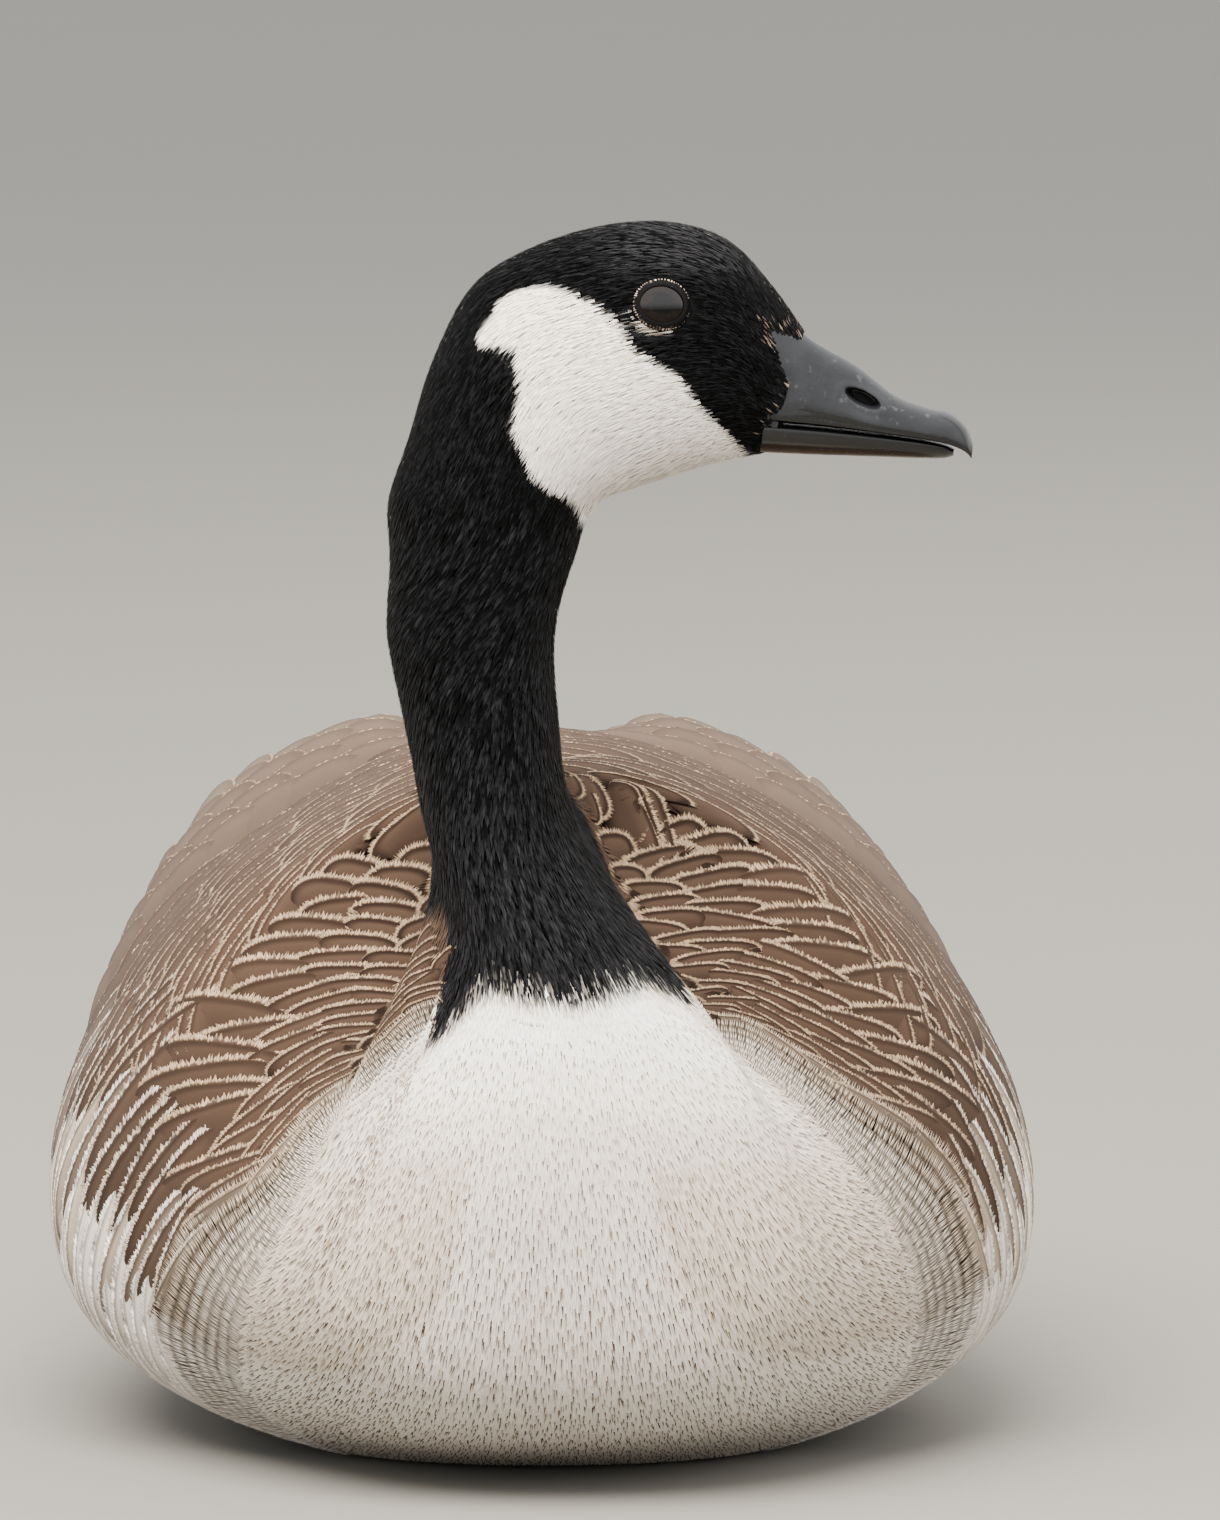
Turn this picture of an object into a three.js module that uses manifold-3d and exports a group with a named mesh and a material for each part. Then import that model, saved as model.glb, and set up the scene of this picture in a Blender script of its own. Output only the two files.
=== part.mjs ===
// A Canada goose afloat, as a still life-size model: its head turned to its left, its feet tucked under.
// Millimetres, +Z up. The bird faces -Y, its right side is -X, and the flat of its belly is on Z = 0
// with the origin at that flat's middle.
import * as THREE from "three";
import { mergeVertices } from "three/addons/utils/BufferGeometryUtils.js";
import Module from "manifold-3d";

const wasm = await Module();
wasm.setup();

// Driving dimensions
const GAP = 0.35; // between nodes that touch
const BODY_HALF_WIDTH = 126; // at the floating line
const FLOAT_LINE = 60; // height of the floating line above the belly's flat
const BACK_HEIGHT = 177;
const TAIL_TIP = 346; // how far behind the origin
const COVER = 8; // thickness of the folded wing over the trunk
const ROOF_LIFT = 18; // how far the wing stands clear of the rump
const HEAD_HEADING = 86; // degrees the head turns to the left
const HEAD_PLACE = { x: 0.7, y: -132 }; // a point of the head's middle plane
const EYE = { f: 26.3, z: 300.2, radius: 8.2, upturn: 13, forward: 9 }; // place along the head, and height
const LID = { long: 5.5, high: 4.6, tube: 1.1, tilt: 8 }; // half the opening, and the rim's radius
const WEB_THICK = 1.6;
const VANE_THICK = 0.8;

const MATERIALS = {
  brown: new THREE.MeshStandardMaterial({ color: 0x7d6857, roughness: 0.85 }),
  pale: new THREE.MeshStandardMaterial({ color: 0xd8cfc2, roughness: 0.9 }),
  black: new THREE.MeshStandardMaterial({ color: 0x17161a, roughness: 0.75 }),
  horn: new THREE.MeshStandardMaterial({ color: 0x2c2e33, roughness: 0.4 }),
  eye: new THREE.MeshStandardMaterial({ color: 0x120c09, roughness: 0.05 }),
  web: new THREE.MeshStandardMaterial({ color: 0x26262a, roughness: 0.6 }),
};

const rad = THREE.MathUtils.degToRad;
const lerp = THREE.MathUtils.lerp;
const step = (low, high, x) => THREE.MathUtils.smoothstep(x, low, high);
const vec = (x, y, z) => new THREE.Vector3(x, y, z);
const up = vec(0, 0, 1);

// The head's own axes: forward along the bill, and right towards the bird's right cheek.
const headForward = vec(Math.sin(rad(HEAD_HEADING)), -Math.cos(rad(HEAD_HEADING)), 0);
const headRight = headForward.clone().cross(up);
const inHead = (f, r, z) =>
  vec(HEAD_PLACE.x, HEAD_PLACE.y, z).addScaledVector(headForward, f).addScaledVector(headRight, r);

// Cross-sections from the tail to the bill's root. Each runs from a low point to a top point, is widest
// at a share of that height (split), and is an ellipse where its roundness is 2. Its upper half narrows by
// the pinch, and the heading is the way that it faces, turning to the left.
const section = (name, top, low, wide, split, more = {}) => ({
  name, top, low, wide, split, heading: 0, pinch: 0, roundTop: 2, roundLow: 2.2, ...more,
});
const trunk = (name, y, top, low, wide, split, more) =>
  section(name, [0, y, top], [0, y, low], wide, split, more);
const neckRing = (name, [x, y, z], half, drop, heading, wide) => {
  const back = vec(-Math.sin(rad(heading)), Math.cos(rad(heading)), 0).multiplyScalar(half);
  const top = [x + back.x, y + back.y, z + drop];
  return section(name, top, [x - back.x, y - back.y, z - drop], wide, 0.5, { heading, roundLow: 2 });
};
const skull = (name, top, low, wide, split, more = {}) =>
  section(name, inHead(top[0], 0, top[1]).toArray(), inHead(low[0], 0, low[1]).toArray(), wide, split,
    { heading: HEAD_HEADING, roundLow: 2, ...more });
const FLOAT_SPLIT = (FLOAT_LINE + 4) / (BACK_HEIGHT + 4);
const SECTIONS = [
  trunk("tail tip", TAIL_TIP, 105, 101, 42, 0.5),
  trunk("tail middle", 300, 108.5, 99.5, 38, 0.5),
  trunk("tail root", 262, 119, 86, 37, 0.55),
  trunk("vent", 225, 132, 56, 60, 0.52, { roundTop: 2.1 }),
  trunk("rump", 180, 147, 25, 88, 0.5, { roundTop: 2.2 }),
  trunk("hips", 120, 161, 3, 0.88 * BODY_HALF_WIDTH, 0.43, { roundTop: 2, roundLow: 2.3 }),
  trunk("loin", 60, 171, -2, 0.97 * BODY_HALF_WIDTH, 0.38, { roundTop: 1.8, roundLow: 2.4 }),
  trunk("middle", 0, BACK_HEIGHT, -4, BODY_HALF_WIDTH, FLOAT_SPLIT, { roundTop: 1.75, roundLow: 2.5 }),
  trunk("shoulders", -55, BACK_HEIGHT + 1, -4, 0.96 * BODY_HALF_WIDTH, FLOAT_SPLIT, { roundTop: 1.8, roundLow: 2.5 }),
  trunk("breast back", -95, BACK_HEIGHT, -1, 0.81 * BODY_HALF_WIDTH, 0.355, { roundTop: 1.9, roundLow: 2.4 }),
  section("breast", [-5, -101, 178], [0, -169, 24], 66, 0.29, { pinch: 0.16 }),
  section("breast top", [-9, -104, 181], [-1, -186, 70], 44, 0.37, { pinch: 0.4 }),
  section("neck root", [-18, -107, 185], [-3, -182.5, 124], 22, 0.4, { pinch: 0.05, roundLow: 2 }),
  section("lower neck", [-20, -110, 191], [-13.5, -171, 163], 19, 0.47, { heading: 5, roundLow: 2 }),
  neckRing("low neck", [-20.2, -136, 199], 24, 4, 20, 19.4),
  neckRing("middle neck", [-21.9, -134, 216], 22, 1.5, 46, 20),
  neckRing("high neck", [-19, -132, 236], 23.4, 1.5, 75, 20.3),
  skull("throat", [-43.2, 249], [6.5, 243.5], 20.5, 0.5),
  skull("nape", [-38.3, 264], [10.5, 248.8], 20.8, 0.49),
  skull("head back", [-32.3, 283.5], [15, 250.8], 21.2, 0.48),
  skull("crown back", [-22, 303], [20.5, 252.6], 21.3, 0.47),
  skull("crown", [-6.5, 312.8], [27, 254.6], 20.8, 0.47),
  skull("temple", [12.5, 318.4], [32.8, 256.6], 19.6, 0.48),
  skull("brow", [29, 318.8], [39, 258.4], 18, 0.5),
  skull("lores", [42.5, 314.2], [44.5, 259.6], 15.4, 0.5),
  skull("forehead", [52.5, 303.8], [48.5, 260.4], 13.2, 0.48),
  skull("bill root", [61.3, 291.6], [52.5, 261], 11.9, 0.46),
];

// Each section's place along the bird is the distance its middle is from the one before it.
const FIELDS = SECTIONS.map((s) => [
  ...s.top, ...s.low, s.wide, s.split, s.heading, s.pinch, s.roundTop, s.roundLow,
]);
const middles = SECTIONS.map((s) => vec(...s.low).lerp(vec(...s.top), 0.5));
const places = [0];
for (let i = 1; i < SECTIONS.length; i++) places.push(places[i - 1] + middles[i].distanceTo(middles[i - 1]));
const placeOf = (name) => places[SECTIONS.findIndex((s) => s.name === name)];
const slopes = FIELDS.map((_, i) => {
  const [a, b] = [Math.max(i - 1, 0), Math.min(i + 1, FIELDS.length - 1)];
  return FIELDS[i].map((_, k) => (FIELDS[b][k] - FIELDS[a][k]) / (places[b] - places[a]));
});

// The cross-section at any place, by a cubic between neighbours.
function sectionAt(place) {
  let i = 0;
  while (i < SECTIONS.length - 2 && place > places[i + 1]) i++;
  const span = places[i + 1] - places[i];
  const t = (place - places[i]) / span;
  const [t2, t3] = [t * t, t * t * t];
  const v = FIELDS[i].map((a, k) => (2 * t3 - 3 * t2 + 1) * a + (3 * t2 - 2 * t3) * FIELDS[i + 1][k]
    + span * ((t3 - 2 * t2 + t) * slopes[i][k] + (t3 - t2) * slopes[i + 1][k]));
  return {
    top: vec(v[0], v[1], v[2]), low: vec(v[3], v[4], v[5]),
    wide: v[6], split: v[7], heading: v[8], pinch: v[9], roundTop: v[10], roundLow: v[11],
  };
}

// A point of the bird's outer surface. Angle 0 is the midline of the back, and it grows to the right side.
function bodyPoint(place, angle) {
  const s = sectionAt(place);
  const back = s.top.clone().sub(s.low);
  const high = back.length();
  back.divideScalar(high);
  const right = vec(-Math.cos(rad(s.heading)), -Math.sin(rad(s.heading)), 0);
  right.addScaledVector(back, -right.dot(back)).normalize();
  const [c, d] = [Math.cos(angle), Math.sin(angle)];
  const power = 2 / (c > 0 ? s.roundTop : s.roundLow);
  const narrow = c > 0 ? 1 - s.pinch * step(0, 0.5, c) : 1;
  const sideways = s.wide * narrow * Math.sign(d) * Math.abs(d) ** power;
  const upward = high * (c > 0 ? 1 - s.split : s.split) * Math.sign(c) * Math.abs(c) ** power;
  return s.low.clone().lerp(s.top, s.split).addScaledVector(right, sideways).addScaledVector(back, upward);
}

// The outward normal of a surface given by place and angle.
function normalOf(surface, place, angle) {
  const alongIt = surface(place + 0.5, angle).sub(surface(place - 0.5, angle));
  const roundIt = surface(place, angle + 0.01).sub(surface(place, angle - 0.01));
  return roundIt.cross(alongIt).normalize();
}

// The trunk's place for a distance behind the origin.
function placeAt(y) {
  let [low, high] = [0, placeOf("breast back")];
  for (let i = 0; i < 30; i++) {
    const mid = (low + high) / 2;
    if (sectionAt(mid).low.y > y) low = mid;
    else high = mid;
  }
  return (low + high) / 2;
}

// How deep the trunk is hollowed for the folded wing that lies in it.
function recess(place, angle) {
  const y = sectionAt(place).low.y;
  const turn = Math.abs(Math.atan2(Math.sin(angle), Math.cos(angle)));
  if (place > placeOf("breast back") + 20) return 0;
  return COVER * step(-112, -84, y) * (1 - step(150, 205, y))
    * step(rad(6), rad(20), turn) * (1 - step(rad(70), rad(84), turn));
}
const trunkPoint = (place, angle) =>
  bodyPoint(place, angle).addScaledVector(normalOf(bodyPoint, place, angle), -recess(place, angle));

// The folded wing's outer surface, which stands clear of the rump.
function wingPoint(place, angle) {
  const y = sectionAt(place).low.y;
  const turn = Math.abs(angle);
  const roofed = step(40, 200, y) * step(rad(2), rad(24), turn) * (1 - step(rad(62), rad(96), turn));
  return bodyPoint(place, angle).addScaledVector(up, ROOF_LIFT * roofed);
}

// Solids
function solidOf(positions, triangles) {
  const made = new wasm.Manifold(new wasm.Mesh({
    numProp: 3,
    vertProperties: new Float32Array(positions),
    triVerts: new Uint32Array(triangles),
  }));
  if (made.volume() > 0) return made;
  const turned = [];
  for (let i = 0; i < triangles.length; i += 3) turned.push(triangles[i], triangles[i + 2], triangles[i + 1]);
  return solidOf(positions, turned);
}

function solidOfGeometry(geometry, matrix) {
  const plain = geometry.clone().applyMatrix4(matrix);
  for (const name of Object.keys(plain.attributes)) if (name !== "position") plain.deleteAttribute(name);
  const merged = mergeVertices(plain, 1e-4);
  return solidOf(merged.attributes.position.array, merged.index.array);
}

// A closed solid from rings of equal length, with a fan at each end, or round into itself.
function loft(rings, closed = false) {
  const n = rings[0].length;
  const positions = rings.flat().flatMap((p) => [p.x, p.y, p.z]);
  const triangles = [];
  const spans = closed ? rings.length : rings.length - 1;
  for (let i = 0; i < spans; i++) {
    const next = (i + 1) % rings.length;
    for (let j = 0; j < n; j++) {
      const k = (j + 1) % n;
      triangles.push(i * n + j, i * n + k, next * n + k, i * n + j, next * n + k, next * n + j);
    }
  }
  if (closed) return solidOf(positions, triangles);
  for (const [ring, flip] of [[0, true], [rings.length - 1, false]]) {
    const middle = rings[ring].reduce((sum, p) => sum.add(p), vec(0, 0, 0)).divideScalar(n);
    const m = positions.length / 3;
    positions.push(middle.x, middle.y, middle.z);
    for (let j = 0; j < n; j++) {
      const [a, b] = [ring * n + j, ring * n + ((j + 1) % n)];
      if (flip) triangles.push(m, b, a);
      else triangles.push(m, a, b);
    }
  }
  return solidOf(positions, triangles);
}

// Rings of a surface at some places, swollen by a distance.
function ringsOf(surface, at, sides, swell = 0) {
  return at.map((place) => {
    const ring = [];
    for (let j = 0; j < sides; j++) {
      const angle = (2 * Math.PI * j) / sides;
      const p = surface(place, angle);
      if (swell) p.addScaledVector(normalOf(surface, place, angle), swell);
      ring.push(p);
    }
    return ring;
  });
}
const spread = (from, to, count) => Array.from({ length: count + 1 }, (_, i) => lerp(from, to, i / count));

const largest = (solid) => solid.decompose().sort((a, b) => b.volume() - a.volume())[0];
const joined = (solids) => solids.reduce((whole, next) => whole.add(next));

// The two parts of a solid on either side of a plane, a gap apart. The first is on the normal's side.
function splitAt(solid, normal, point) {
  const n = normal.clone().normalize();
  const d = n.dot(point);
  return [
    solid.trimByPlane([n.x, n.y, n.z], d + GAP / 2),
    solid.trimByPlane([-n.x, -n.y, -n.z], -d + GAP / 2),
  ];
}

// The direction in which the bird runs on through a cross-section.
function normalOfSection(name) {
  const s = sectionAt(placeOf(name));
  const back = s.top.clone().sub(s.low).normalize();
  return vec(-Math.cos(rad(s.heading)), -Math.sin(rad(s.heading)), 0).cross(back).negate();
}

// A thin closed solid from two alike grids of points, one above the other.
function slab(top, low, columns) {
  const rows = top.length / columns;
  const positions = [...top, ...low].flatMap((p) => [p.x, p.y, p.z]);
  const under = top.length;
  const triangles = [];
  for (let i = 0; i + 1 < rows; i++) {
    for (let j = 0; j + 1 < columns; j++) {
      const [a, b] = [i * columns + j, i * columns + j + 1];
      const [c, d] = [b + columns, a + columns];
      triangles.push(a, b, c, a, c, d, under + a, under + c, under + b, under + a, under + d, under + c);
    }
  }
  const rim = [];
  for (let j = 0; j < columns; j++) rim.push(j);
  for (let i = 1; i < rows; i++) rim.push(i * columns + columns - 1);
  for (let j = columns - 2; j >= 0; j--) rim.push((rows - 1) * columns + j);
  for (let i = rows - 2; i > 0; i--) rim.push(i * columns);
  rim.forEach((a, k) => {
    const b = rim[(k + 1) % rim.length];
    triangles.push(a, under + b, b, a, under + a, under + b);
  });
  return solidOf(positions, triangles);
}

// A round bar through points with radii, its ends rounded.
function bar(points, radii, sides = 6) {
  const path = points.map((p) => vec(...p));
  const rings = [];
  const addRing = (at, ahead, radius) => {
    const side = vec(0, 0, 1).cross(ahead);
    if (side.length() < 0.1) side.set(1, 0, 0);
    side.normalize();
    const over = ahead.clone().cross(side).normalize();
    const ring = [];
    for (let j = 0; j < sides; j++) {
      const a = (2 * Math.PI * j) / sides;
      ring.push(at.clone().addScaledVector(side, radius * Math.cos(a)).addScaledVector(over, radius * Math.sin(a)));
    }
    rings.push(ring);
  };
  path.forEach((p, i) => {
    const ahead = path[Math.min(i + 1, path.length - 1)].clone().sub(path[Math.max(i - 1, 0)]).normalize();
    if (i === 0) addRing(p.clone().addScaledVector(ahead, -0.7 * radii[i]), ahead, 0.7 * radii[i]);
    addRing(p, ahead, radii[i]);
    if (i === path.length - 1) addRing(p.clone().addScaledVector(ahead, 0.7 * radii[i]), ahead, 0.7 * radii[i]);
  });
  return loft(rings);
}

const goose = new THREE.Group();
goose.name = "canada_goose";
function addNode(name, solid, material) {
  const mesh = largest(solid).getMesh();
  const geometry = new THREE.BufferGeometry();
  geometry.setAttribute("position", new THREE.BufferAttribute(new Float32Array(mesh.vertProperties), 3));
  geometry.setIndex(new THREE.BufferAttribute(new Uint32Array(mesh.triVerts), 1));
  geometry.computeVertexNormals();
  const node = new THREE.Mesh(geometry, material);
  node.name = name;
  goose.add(node);
}
const eachSide = (make) => [["left", 1], ["right", -1]].forEach(([name, side]) => make(name, side));

// Feet first, since the trunk is hollowed for them. They are folded forwards under the belly.
const FOOT = { x: 60, joint: 46, toes: 88, spread: 13 };
function foot(side, grow = 0) {
  const place = (x, y, z) => [side * x, y, z];
  const joint = [FOOT.x, FOOT.joint, 5.4];
  const parts = [];
  const tips = [-1, 0, 1].map((k) => [FOOT.x + k * FOOT.spread - 1, FOOT.joint - FOOT.toes * (k ? 0.9 : 1), 2.4]);
  for (const tip of tips) {
    const bend = joint.map((v, i) => lerp(v, tip[i], 0.5));
    parts.push(bar([place(...joint), place(...bend), place(...tip)], [4.6 + grow, 3.6 + grow, 2.3 + grow]));
  }
  const [web, low] = [[], []];
  for (const t of [0.1, 0.5, 0.93]) {
    for (const tip of tips) {
      const at = joint.map((v, i) => lerp(v, tip[i], t));
      web.push(vec(...place(at[0], at[1], WEB_THICK + 1.2 + grow)));
      low.push(vec(...place(at[0], at[1], 1.2 - grow)));
    }
  }
  parts.push(slab(web, low, 3));
  return joined(parts).trimByPlane([0, 0, 1], grow ? -5 : 0);
}

function leg(side, grow = 0) {
  const place = (x, y, z) => [side * x, y, z];
  const heel = place(66, 140, 10);
  const thigh = bar([place(60, 168, 48), place(63, 152, 26), heel], [17 + grow, 12 + grow, 7 + grow]);
  const toJoint = [FOOT.x, FOOT.joint + 8.5, 5.6];
  const shin = bar([heel, place(62, 100, 7), place(...toJoint)], [6.4 + grow, 4.6 + grow, 5 + grow]);
  return thigh.add(shin).trimByPlane([0, 0, 1], grow ? -5 : 0);
}

// Trunk, neck and head are one loft that planes part.
const SIDES = 32;
const trunkPlaces = [
  ...spread(placeOf("tail root"), placeAt(150), 5),
  ...spread(placeAt(150), placeAt(-90), 9).slice(1),
  ...spread(placeAt(-90), placeOf("lower neck"), 15).slice(1),
];
const trunkLoft = (swell) => loft(ringsOf(trunkPoint, trunkPlaces, SIDES, swell));
const throatLine = normalOfSection("throat");
const rootPoint = sectionAt(placeOf("neck root"));
const rootMiddle = rootPoint.low.clone().lerp(rootPoint.top, 0.5);
const [, torsoWhole] = splitAt(trunkLoft(0), normalOfSection("neck root"), rootMiddle);
const neckLoft = loft(ringsOf(bodyPoint, spread(placeOf("breast top"), placeOf("head back"), 18), 28));
const [neckWhole] = splitAt(neckLoft, normalOfSection("neck root"), rootMiddle);
const [neckUpperWhole, neckLower] = splitAt(neckWhole, up, vec(0, 0, sectionAt(placeOf("middle neck")).top.z - 6));
const [, neckUpper] = splitAt(neckUpperWhole, throatLine, inHead(-18, 0, 246.3));
const headLoft = loft(ringsOf(bodyPoint, spread(placeOf("throat") - 4, placeOf("bill root"), 21), 30));
const [headWhole] = splitAt(headLoft, throatLine, inHead(-18, 0, 246.3));

let torso = torsoWhole.trimByPlane([0, 0, 1], 0);
eachSide((_, side) => {
  torso = torso.subtract(foot(side, GAP)).subtract(leg(side, GAP));
});
addNode("torso", torso, MATERIALS.pale);
addNode("neck_lower", neckLower, MATERIALS.black);
addNode("neck_upper", neckUpper, MATERIALS.black);

// Head with lids and sockets
const headSpin = new THREE.Matrix4().makeBasis(headForward, up, headRight.clone());

// The point of the head's side at a distance along the head and a height, by a closing search.
function skinAt(side, f, z) {
  let [place, angle, reach] = [placeOf("temple"), side * rad(60), 1];
  const miss = (s, a) => {
    const p = bodyPoint(s, a);
    return Math.hypot(p.clone().sub(inHead(0, 0, 0)).dot(headForward) - f, p.z - z);
  };
  for (let k = 0; k < 60; k++) {
    let best = [miss(place, angle), place, angle];
    for (const [i, j] of [[1, 0], [-1, 0], [0, 1], [0, -1]]) {
      const [s, a] = [place + 12 * reach * i, angle + 0.5 * reach * j];
      if (miss(s, a) < best[0]) best = [miss(s, a), s, a];
    }
    if (best[1] === place && best[2] === angle) reach *= 0.6;
    [, place, angle] = best;
  }
  return bodyPoint(place, angle);
}

// The eye looks sideways, a little up and a little forwards, and its rim is where the skin meets the ball.
const eyes = Object.fromEntries([1, -1].map((side) => {
  const axis = headRight.clone().multiplyScalar(side)
    .addScaledVector(up, Math.tan(rad(EYE.upturn))).addScaledVector(headForward, Math.tan(rad(EYE.forward))).normalize();
  const sunk = Math.sqrt(EYE.radius ** 2 - LID.long ** 2) - 0.5;
  const middle = skinAt(side, EYE.f, EYE.z).addScaledVector(axis, -sunk);
  const high = up.clone().addScaledVector(axis, -up.dot(axis)).normalize();
  const long = high.clone().cross(axis).multiplyScalar(side);
  return [side, { axis, middle, high, long }];
}));
function eyePoint(side, turn, out, over, onBall) {
  const { axis, middle, high, long } = eyes[side];
  const t = rad(LID.tilt);
  const [a, b] = [(LID.long + out) * Math.cos(turn), (LID.high + out) * Math.sin(turn)];
  const [p, q] = [a * Math.cos(t) + b * Math.sin(t), b * Math.cos(t) - a * Math.sin(t)];
  const ahead = onBall ? Math.sqrt(Math.max(EYE.radius ** 2 - p * p - q * q, 9)) + over : over;
  return middle.clone().addScaledVector(long, p).addScaledVector(high, q).addScaledVector(axis, ahead);
}
function lids(side) {
  const rings = [];
  for (let i = 0; i < 18; i++) {
    const turn = (2 * Math.PI * i) / 18;
    const fold = LID.tube * (1 + 0.2 * Math.sin(turn));
    const ring = [];
    for (let j = 0; j < 6; j++) {
      const a = (2 * Math.PI * j) / 6;
      ring.push(eyePoint(side, turn, 0.8 * LID.tube + fold * Math.cos(a), fold * Math.sin(a), true));
    }
    rings.push(ring);
  }
  return loft(rings, true);
}
function opening(side, out, from) {
  const turns = Array.from({ length: 18 }, (_, j) => (2 * Math.PI * j) / 18);
  return loft([from, 14].map((over) => turns.map((turn) => eyePoint(side, turn, out, over, false))));
}
// The eyeball, as far as the rim holds it
const eyeball = (side, grow = 0) => solidOfGeometry(
  new THREE.SphereGeometry(EYE.radius + grow, 18, 10),
  headSpin.clone().setPosition(eyes[side].middle),
).intersect(opening(side, 0.9 * LID.tube + grow, -3 - grow));

// Bill: each half is a loft along the head, with its own top and low line.
const UPPER = [
  { top: [60.2, 290.4], low: [51.4, 269.4], wide: 11.6 },
  { top: [73.5, 283.4], low: [66, 268.2], wide: 11.2 },
  { top: [83.8, 275.6], low: [78.5, 266.8], wide: 10.8 },
  { top: [92.3, 272.4], low: [90, 265.2], wide: 9.8 },
  { top: [97.6, 271], low: [96.8, 263.8], wide: 8.2 },
  { top: [101.6, 267.6], low: [101.2, 261.8], wide: 5.4 },
  { top: [103.4, 263], low: [103, 259.8], wide: 2.4 },
];
const LOWER = [
  { top: [51.4, 269], low: [50, 261.2], wide: 10.3 },
  { top: [66, 267.8], low: [64, 260.6], wide: 10.1 },
  { top: [78.5, 266.4], low: [78, 260.2], wide: 9.5 },
  { top: [90, 264.8], low: [90, 259.8], wide: 7.9 },
  { top: [96, 263.4], low: [96, 259.8], wide: 5.2 },
  { top: [98.6, 262.2], low: [98.4, 260.4], wide: 2.6 },
];
function billLoft(rows, squareTop, squareLow, sides) {
  const curve = (k, t) => {
    const pick = (i) => rows[THREE.MathUtils.clamp(i, 0, rows.length - 1)];
    const i = Math.min(Math.floor(t), rows.length - 2);
    const u = t - i;
    const [a, b, c, d] = [k(pick(i - 1)), k(pick(i)), k(pick(i + 1)), k(pick(i + 2))];
    return b + 0.5 * u * (c - a + u * (2 * a - 5 * b + 4 * c - d + u * (3 * (b - c) + d - a)));
  };
  const rings = [];
  for (let t = 0; t <= rows.length - 1; t += 0.5) {
    const [tf, tz] = [curve((r) => r.top[0], t), curve((r) => r.top[1], t)];
    const [lf, lz] = [curve((r) => r.low[0], t), curve((r) => r.low[1], t)];
    const wide = curve((r) => r.wide, t);
    const ring = [];
    for (let j = 0; j < sides; j++) {
      const a = (2 * Math.PI * j) / sides;
      const [c, d] = [Math.cos(a), Math.sin(a)];
      const power = 2 / (c > 0 ? squareTop : squareLow);
      const split = squareTop < squareLow ? 0.2 : 0.75;
      const share = split + (c > 0 ? 1 - split : split) * Math.sign(c) * Math.abs(c) ** power;
      const across = wide * Math.sign(d) * Math.abs(d) ** power;
      ring.push(inHead(lerp(lf, tf, share), across, lerp(lz, tz, share)));
    }
    rings.push(ring);
  }
  return loft(rings);
}
const NOSTRIL = { f: 75.6, z: 275.2, long: 4.6, high: 1.7, tilt: 26 };
let billUpper = billLoft(UPPER, 1.9, 5, 20);
eachSide((_, side) => {
  const hole = new THREE.SphereGeometry(1, 12, 8).scale(NOSTRIL.long, NOSTRIL.high, 3.4);
  hole.rotateZ(-rad(NOSTRIL.tilt));
  billUpper = billUpper.subtract(solidOfGeometry(hole, headSpin.clone().setPosition(inHead(NOSTRIL.f, side * 9.6, NOSTRIL.z))));
});
const rootLine = inHead(61.3, 0, 291.6).sub(inHead(52.5, 0, 261)).normalize();
const billNormal = headRight.clone().cross(rootLine).negate();
const billPlane = inHead(56.9, 0, 276.3);
const cutNormal = billNormal.dot(headForward) > 0 ? billNormal : billNormal.clone().negate();
const [billUpperFront] = splitAt(billUpper, cutNormal, billPlane);
const [billLowerFront] = splitAt(billLoft(LOWER, 5, 2, 20), cutNormal, billPlane);
let [, head] = splitAt(headWhole, cutNormal, billPlane);
eachSide((_, side) => {
  head = head.subtract(opening(side, 0.2, 3)).add(lids(side)).subtract(eyeball(side, GAP));
});
addNode("head", head, MATERIALS.black);
addNode("bill_upper", billUpperFront, MATERIALS.horn);
addNode("bill_lower", billLowerFront, MATERIALS.horn);
eachSide((name, side) => addNode(`eye_${name}`, eyeball(-side), MATERIALS.eye));

// Feathers that lie in tiers. Sizes vary a little, by a seeded sequence.
let seed = 7;
function vary(amount) {
  seed = (seed * 16807) % 2147483647;
  return amount * ((2 * seed) / 2147483647 - 1);
}
const OUTLINE = [
  { t: 0, w: 0.55 },
  { t: 0.45, w: 0.95 },
  { t: 0.82, w: 0.88 },
  { t: 1, w: 0.34 },
];

// A vane on the wing's surface, from a root to a tip, each [distance behind the origin, degrees from the
// back's midline], with its height over the surface at both. The tilt lays its outer edge over its neighbour.
function wingVane(side, { root, tip, wide, sunk, raised, tilt }) {
  const [top, low] = [[], []];
  for (const { t, w } of OUTLINE) {
    const place = placeAt(lerp(root[0], tip[0], t));
    const angle = rad(lerp(root[1], tip[1], t));
    const span = wingPoint(place, angle + 0.02).distanceTo(wingPoint(place, angle - 0.02)) / 0.04;
    for (const j of [-1, 0, 1]) {
      const turned = -side * (angle + (j * w * wide) / 2 / span);
      const n = normalOf(wingPoint, place, turned);
      const p = wingPoint(place, turned);
      const height = lerp(sunk, raised, t) + j * w * tilt + 0.5 * (1 - j * j);
      top.push(p.clone().addScaledVector(n, height));
      low.push(p.clone().addScaledVector(n, height - VANE_THICK));
    }
  }
  return slab(top, low, 3);
}

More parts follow.
